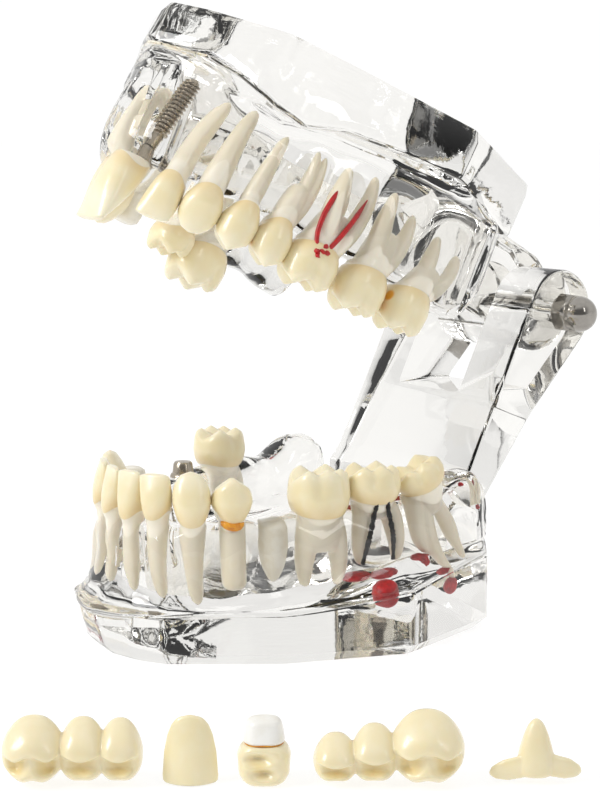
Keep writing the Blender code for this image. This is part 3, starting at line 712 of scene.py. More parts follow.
# the crown over the front implant: the incisor without a root
t = toothSpec("crown_UL1", (4.3, -32.7), "incisor", 8.0, 7.6, 41.4, 28.9, [(4.4, -26.2, 57.0)], True, spin=-22)
points, faces = toothShapes(t)[0]
local = t.toLocal(points)
keep = np.clip(local[2], -0.8, None)
shift = t.slant(local[2]) - t.slant(keep)
points = t.toWorld(local[0] - t.slope[0] * shift, local[1] - t.slope[1] * shift, keep)
obj = rawPiece("crown_UL1_look", [(points, faces)], True)
paintTooth(obj, t)
settled(obj, "tooth", "upper_jaw", ("crown_UL1",))

# stumps and the root left behind, tapering posts
stumps = dict(root_LL5=((18.8, -10.0), 24.2, 13.8, 6.0, False),  # place, top, tip, width, upper jaw
              stump_LR4=((-16.1, -16.6), 29.6, 12.5, 6.0, False),
              stump_UR4=((-17.8, -16.3), 36.8, 55.0, 6.2, True))
for name, (place, top, tip, wide, upper) in stumps.items():
    h = np.linspace(0, 1, 34)
    path = np.c_[np.full(34, place[0]), np.full(34, place[1]), top + (tip - top) * h]
    radii = wide / 2 * np.interp(h, [0, .03, .1, .4, .75, .95, 1], [.55, .78, .86, .8, .52, .25, .06])
    obj = rawPiece(name + "_look", [tube(path, radii, 32, 1.1)], upper)
    settled(obj, "pale", "upper_jaw" if upper else "lower_jaw", (name,))


# canals, lesions and stains
# Local (along, outward, height) points of a tooth in the row frame, closed jaw.
def onTooth(t, points):
    points = np.asarray(points, float)
    return t.toWorld(points[:, 0], points[:, 1], points[:, 2])


six, seven, four = (byName[key] for key in ("tooth_UL6", "tooth_LL7", "tooth_LL4"))
canals = []
for line in ([(-1.2, 4.1, 1.2), (-2.2, 3.7, -1.8), (-2.3, 3.7, -6.0), (-0.8, 3.4, -12.0)],
             [(0.5, 4.1, 0.9), (1.9, 3.7, -2.0), (3.0, 3.7, -5.6), (4.2, 3.4, -11.0)]):
    path = curveThrough(onTooth(six, line), 40)
    canals.append(tube(path, np.interp(np.linspace(0, 1, 40), [0, .15, .8, 1], [.32, .42, .50, .12]), 12))
splash = [lump(p, s, 0.16, k) for k, (p, s) in enumerate(zip(
    onTooth(six, [(-1.3, 4.3, 1.5), (-0.4, 4.4, 1.2), (0.5, 4.3, 1.0), (-0.8, 4.7, 2.1), (0.1, 4.3, 0.4)]),
    [(0.9, 0.6, 0.5), (1.1, 0.6, 0.5), (0.9, 0.6, 0.5), (0.45, 0.5, 0.6), (0.45, 0.5, 0.9)]))]
settled(rawPiece("canals_UL6", canals + splash, True), "canal", "upper_jaw", ())

blacks = []
for line in ([(-0.7, 3.7, 0.2), (-1.4, 3.3, -3.0), (-2.2, 2.9, -6.4), (-3.2, 2.2, -11.2)],
             [(1.3, 3.7, 0.2), (1.9, 3.3, -3.0), (2.5, 2.9, -6.4), (2.6, 2.2, -11.0)]):
    path = curveThrough(onTooth(seven, line), 60)
    bumps = np.random.default_rng(7).uniform(0.75, 1.3, 60)
    blacks.append(tube(path, np.interp(np.linspace(0, 1, 60), [0, .3, .55, 1], [.36, .42, .52, .36]) * bumps, 10))
settled(rawPiece("canals_LL7", blacks), "black", "lower_jaw")


def nodeCentre(node):
    low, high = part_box(node)
    return (np.array(low) + np.array(high)) / 2 / mm


for name, size, shift, seed in (("lesion_LL7_mesial", (2.2, 2.9, 0.9), (0, -1.3, -0.7), 2),
                                ("lesion_LL7_distal", (2.2, 2.7, 1.0), (0, -2.0, -0.9), 3),
                                ("lesion_LL8", (1.9, 1.9, 1.6), (0, 0, -0.8), 4),
                                ("cyst_ball", (2.45, 2.45, 2.45), (0, 0, 0), 6)):
    obj = rawPiece(name + "_look", [lump(nodeCentre(name) + np.array(shift), size, 0.05, seed, 30, 40)])
    settled(obj, "red", "lower_jaw", (name,))
settled(rawPiece("lesion_LL8_mesial", [lump((26.6, 17.0, 15.0), (1.8, 2.2, 0.9), 0.14, 9),
                                       lump((26.6, 18.2, 14.2), (0.9, 1.0, 1.2), 0.14, 10)]),
        "red", "lower_jaw", ())
settled(rawPiece("gum_flecks", [lump((28.5, 26.4, 28.0), (0.35, 0.6, 0.35), 0.2, 11),
                                lump((28.2, 30.6, 23.3), (0.35, 0.5, 0.4), 0.2, 12)]),
        "red", "lower_jaw", ())
ring = []
a0 = np.linspace(0.9, 2.5, 26)
for high, size in ((-0.9, 0.62), (-1.3, 0.45)):
    ring.append(tube(onTooth(four, np.c_[2.75 * np.cos(a0), 2.95 * np.sin(a0), high + 0.35 * np.sin(a0 * 3)]),
                     size * np.interp(np.linspace(0, 1, 26), [0, .2, .8, 1], [.3, 1, 1, .3]), 12))
settled(rawPiece("caries_LL4", ring), "amber", "lower_jaw")
print("canals and lesions made")


# lower base
lowerBase = dict(plan=[(0, -33.6), (7.5, -32.2), (13.1, -29.4), (26.1, -12.3), (35.1, 9.8), (29.0, 33.6)],
                 ridge=[(0, -27.6), (7.6, -25.6), (12.6, -21.0), (16.6, -14.0), (19.6, -6.5), (22.4, 3.0),
                        (24.6, 12.0), (25.2, 20.0), (24.6, 27.0), (23.6, 33.3)],
                 bevel=2.0, rim=9.4, rimRear=14.0, crest=24.6, stations=200)


# How far each station's outward ray goes before it meets the plan's outline.
def distanceToPlan(path, run, plan):
    out = np.stack([run[:, 1], -run[:, 0]], 1)
    a = np.array(plan)
    b = np.roll(a, -1, 0)
    edge = b - a
    cross = out[:, None, 0] * edge[None, :, 1] - out[:, None, 1] * edge[None, :, 0]
    d = a[None] - path[:, None]
    along = (d[..., 0] * edge[None, :, 1] - d[..., 1] * edge[None, :, 0]) / np.where(abs(cross) < 1e-9, 1e-9, cross)
    share = (d[..., 0] * out[:, None, 1] - d[..., 1] * out[:, None, 0]) / np.where(abs(cross) < 1e-9, 1e-9, cross)
    good = (along > 0) & (share > -0.001) & (share < 1.001)
    return np.where(good, along, 99).min(1)


# 1 beside a tooth's middle, -1 between two teeth.
def toothWave(path, arch):
    arch = np.array(mirrored(arch))
    s = np.r_[0, np.cumsum(np.hypot(*np.diff(arch, axis=0).T))]
    near = np.linalg.norm(path[:, None] - arch[None], axis=2).argmin(1)
    line = np.r_[0, np.cumsum(np.hypot(*np.diff(path, axis=0).T))]
    at = np.interp(line / line[-1], s / s[-1], np.arange(len(arch)))
    return np.cos(2 * math.pi * (at - (len(arch) - 1) / 2 + 0.5 * (abs(at - (len(arch) - 1) / 2) < 0.5)))


# Each (outward, height) pair at every station, a lone number being the same all along.
def stationed(count, pairs):
    return np.stack([np.stack([np.broadcast_to(value, count) for value in pair], 1) for pair in pairs], 1)


# For each station of a gum ridge: its place and heading, the room out to the slab's edge, and how far it
# belongs to the front and to the rear, with a wave that swells beside each tooth.
def ridgeRun(base, jaw):
    path, run = evenPath(mirrored(base["ridge"]), base["stations"])
    front = np.exp(-(path[:, 0] / 9.5) ** 2)
    rear = eased((path[:, 1] - 20) / 8)
    wave = toothWave(path, arches[jaw][:9]) * (1 - rear)
    return path, run, distanceToPlan(path, run, mirrored(base["plan"])), front, rear, wave


# Height of the lower slab's rim: level in front, easing up towards the rear.
def lowerRim(y):
    return lowerBase["rim"] + (lowerBase["rimRear"] - lowerBase["rim"]) * eased((y + 14) / 46)


outline = Outline(mirrored(lowerBase["plan"]))
rim = lowerRim(outline.points[:, 1])
jut = 1.8 * eased((-16 - outline.points[:, 1]) / 14)
slab = rawPiece("lower_base_look", [layered(outline, [
    (4.0, 0.0), (1.9, 0.0), (0.0, lowerBase["bevel"]), (0.0, rim * 0.6, 0.5 * jut), (0.0, rim - 0.5, jut),
    (0.7, rim, jut), (4.0, rim)])])

path, run, far, front, rear, wave = ridgeRun(lowerBase, "lower")
edgeDrop = eased((path[:, 1] - 30.0) / 3.2)
crest = lowerBase["crest"] + 1.8 * eased((path[:, 1] + 26) / 44) + 3.4 * rear - 2.0 * edgeDrop ** 2 - 0.45 * wave
rimHere = lowerRim(path[:, 1])
room = far - 5.0
body = 5.0 - 1.1 * front - 0.5 * edgeDrop
section = stationed(len(path), [
    (-5.4, 4.0), (-5.6, 12), (-5.0 + 0.25 * wave, crest - 4.6), (-3.3, crest - 0.5), (0, crest + 0.25),
    (body - 1.5, crest - 0.5), (body + 0.25 * wave, crest - 4.2), (body + 0.35 * wave, 17.0),
    (body + 0.22 * room + 0.8 * front, rimHere + 3.0 + 1.5 * front),
    (5.0 + 0.55 * room + 1.2 * front, rimHere + 0.9),
    (5.0 + 0.95 * room + 3.6 * front, rimHere + 0.1 - 1.0 * front),
    (5.0 + 0.90 * room + 0.4 * front, rimHere - 1.4 - 1.2 * front), (4.6, 4.0)])
section[..., 0] *= (1 - 0.10 * edgeDrop)[:, None]
ridge = rawPiece("lowerRidge", [swept(path, run, cutCorners(section, 3))])
wall = rawPiece("rearWall", [layered(Outline([(-22, 26.4), (22, 26.4), (22, 33.4), (-22, 33.4)], 240, 2),
                                     [(0, 4.3), (0, 20.8), (0.35, 21.6), (1.2, 22.0)], flatEnds=True)])
combined(slab, [ridge, wall])
settled(slab, "resin", "lower_jaw", ("lower_base",), 38)
print("lower base:", len(slab.data.polygons), "faces")

# upper base, worked out with the jaw closed
upperBase = dict(plan=[(0, -35.5), (7.4, -32.1), (20.3, -23.1), (25.6, -11.0), (34.0, 11.4), (27.4, 34.0)],
                 ridge=[(0, -31.4), (8.2, -28.2), (13.4, -22.0), (17.6, -14.0), (20.6, -6.0), (23.4, 3.0),
                        (25.4, 12.0), (26.4, 20.0), (26.0, 30.0)],
                 top=70.9, bevel=2.1, stations=200, flareAt=(-36, -32, -28, -24, -18, -10, 0, 8, 15, 33, 34),
                 flare=(1.6, 1.2, 1.6, 2.6, 3.4, 3.0, 2.2, 1.4, 0.4, 0.2, 0.0),
                 rimAt=(-36, -30, -26, -22, -16, -10, 2, 15, 34),
                 rim=(62.6, 62.4, 60.6, 57.8, 56.6, 58.8, 60.6, 61.8, 60.0),
                 palate=((66, 24), (60, 23.4), (55.5, 21.6), (53.2, 19.2), (52.0, 16), (51.5, 11), (51.3, 5)))


# Height of the slab's lower edge along the arch: high in front, low beside the premolars, high again.
def upperRim(y):
    return np.interp(y, upperBase["rimAt"], upperBase["rim"])


outline = Outline(mirrored(upperBase["plan"]))
rim = upperRim(outline.points[:, 1])
flare = np.interp(outline.points[:, 1], upperBase["flareAt"], upperBase["flare"])
shoulder = np.interp(outline.points[:, 1], [-36, -20, 10, 33, 34], [1.0, 1.2, 1.0, 0.6, 0.0])
top = upperBase["top"]
slab = rawPiece("upper_base_look", [layered(outline, [
    (4.0, rim + 0.8), (1.2, rim, flare), (0.35, rim + 0.25, flare), (0.0, rim + 1.1, flare),
    (0.0, (rim + 69) / 2, 0.5 * flare + 0.5 * shoulder), (0.0, top - upperBase["bevel"], shoulder), (0.0, top),
    (2.0, top)])], True)

path, run, far, front, rear, wave = ridgeRun(upperBase, "upper")
edgeDrop = eased((path[:, 1] - 27.2) / 3.0)
crest = 41.8 + 0.4 * wave - 0.6 * rear + 4.0 * edgeDrop ** 2
rimHere = upperRim(path[:, 1])
section = stationed(len(path), [
    (-5.6, 67), (-6.0, 55), (-5.0 + 0.25 * wave, 46.4), (-3.2, crest + 0.5), (0, crest - 0.25), (3.1, crest + 0.5),
    (4.7 + 0.25 * wave, 45.8), (4.9 + 0.35 * wave - 0.6 * front, 52), (4.3 - 0.8 * front, rimHere - 3.0),
    (4.6 + 0.2 * (far - 4), rimHere - 0.6), (far - 0.4, rimHere + 0.4), (far - 0.8, rimHere + 2.0), (3.6, 67)])
section[..., 0] *= (1 - 0.35 * edgeDrop)[:, None]
ridge = rawPiece("upperRidge", [swept(path, run, cutCorners(section, 3))], True)
turn = np.linspace(0, 2 * math.pi, 96, endpoint=False)
palate = rawPiece("palateLook", [closedGrid(np.stack([
    np.c_[r * 0.95 * np.cos(turn), 4 + r * 1.12 * np.sin(turn), np.full(96, z)] for z, r in upperBase["palate"]]))],
    True)
combined(slab, [ridge, palate])
settled(slab, "resin", "upper_jaw", ("upper_base",), 38)
print("upper base:", len(slab.data.polygons), "faces")


# hinge: plate with its notch, tongue, bolt and acorn nuts
hingeParts = dict(half=19.8, notch=9.0, floor=41.2, knuckle=8.3, edge=0.8, bolt=2.0, bore=2.3)
nutParts = dict(flats=7.0, turn=0.35, gap=0.3, around=120, domeStart=4.4, domeTall=3.2, domeRadius=3.46,
                rounding=((0, 1.0), (0, 3.45), (0.35, 3.78), (0.6, 4.05), (2.6, 4.05), (2.85, 3.82), (3.15, 3.5),
                          (3.2, 3.4)), neck=((3.25, 3.38), (4.2, 3.46)))  # distance out, radius


def arcPoints(radius, start, stop, count):
    a = np.radians(np.linspace(start, stop, count))
    return [(hinge[1] + radius * math.cos(v), hinge[2] + radius * math.sin(v)) for v in a]


# An outline in (y, z) run from -half to half in x, its edges rounded over edge millimetres.
def flatPart(name, corners, half, edge, upper=False):
    outline = Outline(corners, 420, 3)
    a = np.linspace(0, math.pi / 2, 5)
    levels = [(edge * (1 - math.sin(v)), -half + edge * (1 - math.cos(v))) for v in a]
    levels += [(inset, -high) for inset, high in levels[::-1]]
    return rawPiece(name, [layered(outline, levels, (2, 0, 1), True)], upper)


# A round bar on the hinge axis through the stations x.
def rod(name, x, radius, sides, upper=False):
    count = len(x)
    return rawPiece(name, [tube(np.c_[x, np.full(count, hinge[1]), np.full(count, hinge[2])], radius, sides)], upper)


def boreCutter(upper=False):
    return rod("boreCutter", np.linspace(-30, 30, 4), hingeParts["bore"], 40, upper)


plateCorners = [(33.9, 14.2), (41.8, 22.9), (52.8, 36.8), (hinge[1] + 5.2, hinge[2] - 6.6),
                *arcPoints(hingeParts["knuckle"], -40, 150, 20), (50.0, 54.0), (44.0, 42.0), (36.6, 28.0), (33.9, 25.0)]
plate = flatPart("hinge_plate_look", plateCorners, hingeParts["half"], hingeParts["edge"])
notchHalf, notchFloor = hingeParts["notch"], hingeParts["floor"]
notchOutline = Outline([(-notchHalf, notchFloor), (notchHalf, notchFloor), (notchHalf, 80), (-notchHalf, 80)], 300, 6)
notch = rawPiece("notchCutter", [layered(notchOutline, [(0, 30.0), (0, 80.0)], (0, 2, 1), True)])
combined(plate, [notch, boreCutter()], "DIFFERENCE")
settled(plate, "plate", "lower_jaw", ("hinge_plate",), 38)
tongueCorners = [(34.3, 68.0), (60.5, 68.0), (64.5, 66.4), *arcPoints(hingeParts["knuckle"] + 0.2, 50, -130, 20),
                 (50.0, 50.5), (34.3, 50.5)]
tongue = flatPart("hinge_tongue_look", tongueCorners, notchHalf - 0.3, 1.6, True)
combined(tongue, [boreCutter(True)], "DIFFERENCE")
settled(tongue, "plate", "upper_jaw", ("hinge_tongue",), 38)
settled(rod("hinge_bolt_look", np.linspace(boltLow[0], boltHigh[0], 8), hingeParts["bolt"], 32), "nickel", "lower_jaw",
        ("hinge_bolt",), 40)

# nut: a hexagon, flats / 2 over the cosine of the angle from the nearest flat, capped by a round chamfer and a dome
a0 = np.linspace(0, 2 * math.pi, nutParts["around"], endpoint=False)
hexRadius = nutParts["flats"] / 2 / np.cos((a0 + math.pi / 6) % (math.pi / 3) - math.pi / 6)
rows = [(out, np.minimum(hexRadius, limit)) for out, limit in nutParts["rounding"]]
rows += [(out, np.full_like(a0, radius)) for out, radius in nutParts["neck"]]
for v in np.linspace(0, math.pi / 2, 18):
    radius = nutParts["domeRadius"] * math.cos(v) ** 0.8 + 0.02
    rows.append((nutParts["domeStart"] + nutParts["domeTall"] * math.sin(v), np.full_like(a0, radius)))
a0 = a0 + nutParts["turn"]
for name, sign in (("nut_right", -1), ("nut_left", 1)):
    start = hingeParts["half"] + nutParts["gap"]
    grid = np.stack([ringed([sign * (start + out), hinge[1] + r * np.cos(a0), hinge[2] + r * np.sin(a0)])
                     for out, r in rows])
    settled(rawPiece(name + "_look", [closedGrid(grid)]), "nickel", "lower_jaw", (name,), 30)
print("hinge made")


# implants: a screw thread run round a tapering core
# Radius = core + depth times a tooth of (distance / pitch - angle / turn); the tip is rounded off.
def implantShapes(base, tip, radius, pitch, depth, turns=48, plain=0.12):
    base, tip = np.array(base, float), np.array(tip, float)
    axis = tip - base
    length = np.linalg.norm(axis)
    axis /= length
    side = np.cross(axis, (1, 0, 0.2))
    side /= np.linalg.norm(side)
    lift = np.cross(axis, side)
    d = np.linspace(0, length, int(length / pitch * 10))[:, None]
    a = np.linspace(0, 2 * math.pi, turns, endpoint=False)[None, :]
    phase = (d / pitch - a / (2 * math.pi)) % 1
    thread = np.clip(1.35 - np.abs(phase - 0.5) * 4.2, 0, 1)
    core = radius - depth
    taper = np.interp(d, [0, length * 0.75, length * 0.94, length], [1, 1, 0.86, 0.42])
    r = (core + depth * thread * eased((d - plain * length) / 0.8) * eased((length - d) / 1.2)) * taper
    ring = side[None, None] * np.cos(a)[..., None] + lift[None, None] * np.sin(a)[..., None]
    return closedGrid(base + axis * d[..., None] + ring * r[..., None])


# (distance, radius) points turned round an axis.
def postShapes(base, way, profile, sides=40):
    base, way = np.array(base, float), np.array(way, float)
    way = way / np.linalg.norm(way)
    profile = np.array(profile, float)
    return tube(base + way * profile[:, :1], profile[:, 1], sides)


# abutments as (distance along, radius)
implantParts = dict(tip=(3.9, -25.6, 59.4), collar=(4.1, -29.4, 45.6), site=(-21.4, -1.3), siteTop=22.2, siteTip=11,
                    front=dict(radius=1.65, pitch=0.80, depth=0.52), back=dict(radius=2.0, pitch=0.8, depth=0.42),
                    frontPost=[(0, 1.0), (0.01, 1.4), (2.2, 1.8), (2.6, 1.9), (3.2, 1.75), (3.4, 1.5), (7.9, 1.2),
                               (8.3, 1.1), (8.4, 0.6)],
                    backPost=[(0, 1.4), (0.01, 1.9), (2.2, 2.5), (2.6, 2.6), (3.2, 2.4), (3.4, 2.1), (5.2, 1.85),
                              (5.6, 1.6), (5.7, 0.8)])
tipPoint, collar, site = np.array(implantParts["tip"]), np.array(implantParts["collar"]), implantParts["site"]
axis = (tipPoint - collar) / np.linalg.norm(tipPoint - collar)
settled(rawPiece("implant_UL1_look", [implantShapes(collar, tipPoint, **implantParts["front"])], True), "titanium",
        "upper_jaw", ("implant_UL1",), 50)
settled(rawPiece("abutment_UL1_look", [postShapes(collar - axis * 0.3, -axis, implantParts["frontPost"])], True),
        "titanium", "upper_jaw", ("abutment_UL1",), 40)
siteTop = implantParts["siteTop"]
settled(rawPiece("implant_LR6_look", [implantShapes((*site, siteTop), (*site, implantParts["siteTip"]),
                                                    **implantParts["back"])]),
        "titanium", "lower_jaw", ("implant_LR6",), 50)
settled(rawPiece("abutment_LR6_look", [postShapes((*site, siteTop + 0.3), (0, 0, 1), implantParts["backPost"])]),
        "titanium", "lower_jaw", ("abutment_LR6",), 40)
print("implants made")

# loose restorations, standing along a row
rowHeading = math.radians(52.1)
rowOut = 84.0
rowRun = np.array([math.cos(rowHeading), math.sin(rowHeading), 0])
rowBack = np.array([-math.sin(rowHeading), math.cos(rowHeading), 0])
rowHome = -rowBack * rowOut


# (along the row, away from the viewer, height) to the row frame.
def inRow(points):
    return rowHome + points[..., :1] * rowRun + points[..., 1:2] * rowBack + points[..., 2:] * np.array([0, 0, 1.0])


# Shapes made along, away and up from the row's middle, stood in the row.
def loosePiece(name, shapes):
    points, faces = joined(shapes)
    return rawPiece(name, [(inRow(points), faces)])


# Height share of the cheek face's lower edge: it dips at each cusp.
def cheekEdge(u, wide, cusps, ridgeAt):
    return ridgeAt + 0.05 * np.cos((u / wide + 0.5) * 2 * math.pi * cusps)


# A crown lying back: a rounded front outline; the cheek face arches over the upper part and ends in a cusped
# edge, below it the biting face falls back into pits and rises to the tongue cusps; the back is flat or hollow.
def unitShapes(at, wide, tall, thick, cusps, hollow, ridgeAt=0.50):
    a = np.linspace(0, 2 * math.pi, 120, endpoint=False)
    c, s = np.cos(a), np.sin(a)
    half = wide / 2 * np.sign(c) * np.abs(c) ** 0.84
    high = tall / 2 * (1 + np.sign(s) * np.abs(s) ** 0.84)
    high = np.where(s < 0, high + 0.55 * (0.5 + 0.5 * np.cos(half / wide * 2 * math.pi * cusps)) * (-s) ** 2, high)
    half = half * (1 - 0.22 * eased((high / tall - 0.45) / 0.6)) * (1 - 0.10 * eased((0.3 - high / tall) / 0.3))
    rows = []
    middle = tall * 0.42
    for rho in np.r_[0.02, np.linspace(0.06, 1, 40)]:
        u, z = half * rho, middle + (high - middle) * rho
        share = z / tall
        edge = cheekEdge(u, wide, cusps, ridgeAt)
        dome = np.sqrt(np.clip(1 - rho ** 3.2, 0, 1))
        cheek = 0.34 + 0.66 * np.cos(np.clip((share - edge) / (1 - edge), 0, 1) * math.pi / 2) ** 0.7
        cheek = cheek - (0.05 * np.exp(-(u / (0.09 * wide)) ** 2) if cusps > 2 else 0)
        below = np.clip((edge - share) / edge, 0, 1)
        pits = 0.5 - 0.5 * np.cos((u / wide + 0.5) * 2 * math.pi * cusps)
        fall = eased(below / 0.16) * (0.14 + 0.42 * pits) - eased((below - 0.36) / 0.30) * (0.08 + 0.40 * pits)
        rows.append(np.stack([at + u, -thick * 0.62 * dome * (cheek - fall), z], -1))
    back = []
    for rho in np.linspace(1, 0.03, 24):
        u, z = half * rho, middle + (high - middle) * rho
        dome = np.sqrt(np.clip(1 - rho ** 3.5, 0, 1))
        dent = 0.62 * float(eased((0.80 - rho) / 0.14)) if hollow else 0.0
        back.append(ringed([at + u, thick * (0.36 * dome - 0.70 * dent), z]))
    return closedGrid(np.stack(rows + back[1:]))


# Painted shade for the loose crowns: strong in the pits of the biting face.
def paintLoose(obj, units, ridgeAt=0.50):
    d = meshPoints(obj) - rowHome
    u, y, z = d @ rowRun, d @ rowBack, d[:, 2]
    groove = np.zeros(len(u))
    for at, wide, tall, thick, cusps, hollow in units:
        away = u - at
        edge = cheekEdge(away, wide, cusps, ridgeAt)
        below = (edge - z / tall) / edge
        # painted shade: a band below the cheek edge, darkest in the pits between cusps
        band = eased((below - 0.06) / 0.16) * (1 - eased((below - 0.44) / 0.2))
        lines = 0.15 + 0.85 * (0.5 - 0.5 * np.cos((away / wide + 0.5) * 2 * math.pi * cusps)) ** 1.5
        groove = np.maximum(groove, (np.abs(away) < wide * 0.44) * band * lines * (y < 0))
    storeLevels(obj, enamel=np.full_like(u, 5.0), groove=groove, stain=np.zeros_like(u))


bridges = dict(
    bridge_upper=[(-29.7, 9.4, 10.0, 7.8, 2, True), (-22.6, 7.2, 9.8, 7.2, 1, False), (-17.2, 6.6, 9.6, 7.0, 1, True)],
    bridge_lower=[(14.0, 6.6, 7.4, 6.8, 1, True), (19.6, 7.0, 8.8, 7.0, 1, False), (27.2, 11.0, 10.9, 8.4, 2, True)])
for name, units in bridges.items():
    obj = loosePiece(name + "_look", [unitShapes(*unit) for unit in units])
    fused(obj, 0.17, 2)
    paintLoose(obj, units)
    settled(obj, "bridge", name, (name,))

# veneer: a thin shield, bowed across by 1 - (u / half width) squared and leaning back as it rises
veneerParts = dict(at=-7.1, tall=10.0, bow=1.7, reach=4.1, thick=0.42, lean=0.14, belly=0.4,
                   shares=[0, .02, .10, .45, .7, .85, .94, .98, 1],
                   halves=[3.7, 3.98, 4.05, 3.8, 3.3, 2.7, 2.0, 1.3, .4])
v = np.linspace(0, 1, 40)[:, None]
a0 = np.linspace(0, 2 * math.pi, 80, endpoint=False)[None, :]
halfWidth = np.interp(v, veneerParts["shares"], veneerParts["halves"])
c, s = np.cos(a0), np.sin(a0)
u = halfWidth * np.sign(c) * np.abs(c) ** 0.8
bow = -veneerParts["bow"] * (1 - (u / veneerParts["reach"]) ** 2)
thick = veneerParts["thick"] * np.sign(s) * np.abs(s) ** 0.7 * np.minimum(1, 0.35 + halfWidth / 4)
back = bow + thick + veneerParts["lean"] * veneerParts["tall"] * v - veneerParts["belly"] * np.sin(v * math.pi)
obj = loosePiece("veneer_look", [closedGrid(ringed([u + veneerParts["at"], back, 0.05 + veneerParts["tall"] * v]))])
paintLoose(obj, [])
settled(obj, "bridge", "veneer", ("veneer",))


# Rings at (height, half width, half depth), corners squared; dips press the viewer's side in.
def standingShape(at, levels, squared, dips=()):
    a = np.linspace(0, 2 * math.pi, 96, endpoint=False)
    c, s = np.cos(a), np.sin(a)
    cs, sn = np.sign(c) * np.abs(c) ** squared, np.sign(s) * np.abs(s) ** squared
    levels = np.array(levels, float)
    z = np.linspace(levels[0, 0], levels[-1, 0], 48)
    wide, deep = (np.interp(z, levels[:, 0], levels[:, k]) for k in (1, 2))
    for turn in range(3):
        wide[1:-1] = (wide[:-2] + 2 * wide[1:-1] + wide[2:]) / 4
        deep[1:-1] = (deep[:-2] + 2 * deep[1:-1] + deep[2:]) / 4
    x, y = wide[:, None] * cs, deep[:, None] * sn
    for px, pz, rx, rz, depth in dips:
        y = np.where(y < 0, y + depth * np.exp(-((x - px) / rx) ** 2 - ((z[:, None] - pz) / rz) ** 2), y)
    return closedGrid(ringed([at + x, y, z[:, None]]))


crownParts = dict(at=3.6,  # levels as (height, half width, half depth)
                  shell=[(0.05, 2.5, 2.3), (0.5, 3.1, 2.9), (1.6, 3.7, 3.4), (4.4, 3.9, 3.6), (5.3, 3.5, 3.2),
                         (5.9, 2.9, 2.7)],
                  dips=((-0.9, 4.1, 1.9, 0.8, 1.9), (-0.1, 1.9, 1.8, 0.8, 1.7)),
                  core=[(6.15, 2.7, 2.4), (6.4, 3.05, 2.7), (7.8, 2.85, 2.5), (9.0, 2.55, 2.2), (9.5, 2.1, 1.9),
                        (9.75, 1.0, 0.9)])
obj = loosePiece("crown_shell_look", [standingShape(crownParts["at"], crownParts["shell"], 0.7, crownParts["dips"])])
# the shell takes the same painted pit shade
paintLoose(obj, [(3.0, 4.4, 9.0, 5, 1, False)], 0.5)
settled(obj, "bridge", "crown", ("crown_shell",))
settled(loosePiece("crown_core_look", [standingShape(crownParts["at"], crownParts["core"], 0.72)]), "core", "crown",
        ("crown_core",))
a0 = np.linspace(0, 2 * math.pi, 90)
line = np.c_[crownParts["at"] + 2.72 * np.cos(a0), 2.5 * np.sin(a0), 6.02 + 0.12 * np.sin(3 * a0)]
settled(rawPiece("crown_line", [tube(inRow(line), 0.13, 10)]), "amber", "crown")

# Maryland bridge: a canine-shaped tooth with two wings, each a tube pressed flat
marylandParts = dict(at=43.0, wingFlat=0.36,
                     pontic=[(0.9, 1.9, 1.4), (1.3, 2.6, 2.0), (2.6, 2.85, 2.2), (5.0, 2.4, 1.9), (7.2, 1.75, 1.4),
                             (8.6, 1.15, 0.9), (9.3, 0.6, 0.5), (9.5, 0.2, 0.2)])
parts = [standingShape(marylandParts["at"], marylandParts["pontic"], 0.85)]
s1 = np.linspace(0, 1, 40)
width = np.interp(s1, [0, .2, .6, .88, 1], [1.3, 1.7, 1.6, 1.0, .2])
for side in (-1, 1):
    way = np.c_[marylandParts["at"] + side * (1.0 + 5.7 * s1), -0.9 + 1.4 * s1 ** 2,
                2.7 - 1.7 * s1 ** 1.3 + (0.25 if side > 0 else 0.0)]
    points, faces = tube(way, width, 32)
    rings = points[:-2].reshape(40, 32, 3)  # the last two points close the ends
    middle = rings.mean(1)
    spread = rings - middle[:, None]
    spread[..., 1] *= marylandParts["wingFlat"]
    parts.append((np.vstack([(middle[:, None] + spread).reshape(-1, 3), middle[:1], middle[-1:]]), faces))
obj = loosePiece("maryland_bridge_look", parts)
fused(obj, 0.2, 3)
paintLoose(obj, [])
settled(obj, "bridge", "maryland_bridge", ("maryland_bridge",))
print("loose pieces made")

# floor, light and camera
studio = dict(floorSize=4.0, floorDrop=0.0002, floorColor=(0.30, 0.30, 0.30), floorGlow=0.76, white=0.93, dark=0.22,
              overhead=0.97, matteLoss=0.10, seenWhite=1.02,
              boxes=dict(keyLight=((-0.10, -0.70, 0.50), 0.28, 0.36, 3.4),  # place, width, height, watts
                         fillLight=((0.80, 0.10, 0.45), 0.10, 0.36, 0.5)))
view = dict(place=(0.2764, -0.2039, 0.0969), target=(0.0035, 0.0084, 0.0432), lens=112.0)


def aimed(obj, place, target):
    obj.location = place
    obj.rotation_euler = (Vector(target) - Vector(place)).to_track_quat("-Z", "Y").to_euler()


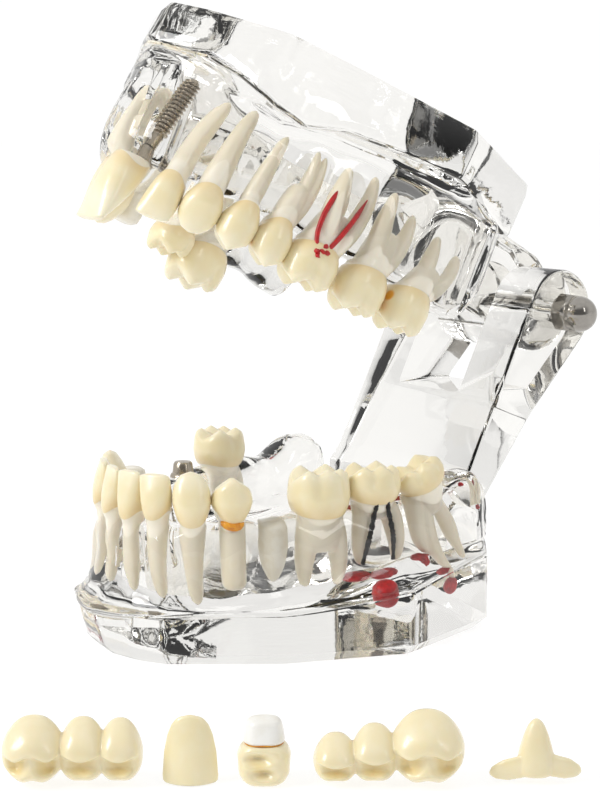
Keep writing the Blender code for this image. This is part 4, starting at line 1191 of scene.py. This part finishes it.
mesh = bpy.data.meshes.new("floor")
size, drop = studio["floorSize"], -studio["floorDrop"]
mesh.from_pydata([(-size, -size, drop), (size, -size, drop), (size, size, drop), (-size, size, drop)], [],
                 [(0, 1, 2, 3)])
floor = linked("floor", mesh)
mesh.materials.append(maker("floorWhite").surface(
    Base_Color=studio["floorColor"], Roughness=0.9, Specular_IOR_Level=0.1,
    Emission_Color=(1.0, 1.0, 1.0), Emission_Strength=studio["floorGlow"]))

# a pale room, darker low down on the camera's side, so that clear resin and metal have edges to show
towards = np.array(view["place"]) - np.array(view["target"])
flat = towards[:2] / np.linalg.norm(towards[:2])
world = bpy.data.worlds.new("studio")
bpy.context.scene.world = world
m = Maker(world)
way = m.node("ShaderNodeTexCoord").outputs["Generated"]
dot = m.node("ShaderNodeVectorMath", {"operation": "DOT_PRODUCT"}, {0: way})
dot.inputs[1].default_value = (float(flat[0]), float(flat[1]), 0.0)
toward = m.level(dot, "Value")
height = m.level(m.node("ShaderNodeSeparateXYZ", None, {0: way}), "Z")
darkness = toward.step(0.10, 0.80) * (1 - height.step(0.45, 0.85))
seeing = m.node("ShaderNodeLightPath")
matte = m.level(seeing, "Is Diffuse Ray")
white = studio["white"]
shade = white - darkness * (white - studio["dark"]) + height.step(0.6, 0.9) * (studio["overhead"] - white)
seen = m.level(seeing, "Is Camera Ray")
strength = shade * (1 - seen) * (1 - matte * studio["matteLoss"]) + seen * studio["seenWhite"]
background = m.node("ShaderNodeBackground", None, {"Color": (1.0, 1.0, 1.0), "Strength": strength})
m.node("ShaderNodeOutputWorld", None, {"Surface": background.outputs[0]})

for name, (place, wide, tall, power) in studio["boxes"].items():
    light = bpy.data.lights.new(name, "AREA")
    light.shape, light.size, light.size_y, light.energy = "RECTANGLE", wide, tall, power
    aimed(linked(name, light), place, (0, 0, 0.04))

camera = linked("camera", bpy.data.cameras.new("camera"))
aimed(camera, view["place"], view["target"])
camera.data.lens, camera.data.sensor_width, camera.data.sensor_fit = view["lens"], 36.0, "HORIZONTAL"
camera.data.clip_start, camera.data.clip_end = 0.01, 20.0
bpy.context.scene.camera = camera
bpy.context.scene.view_settings.view_transform = "Standard"
print("studio made")
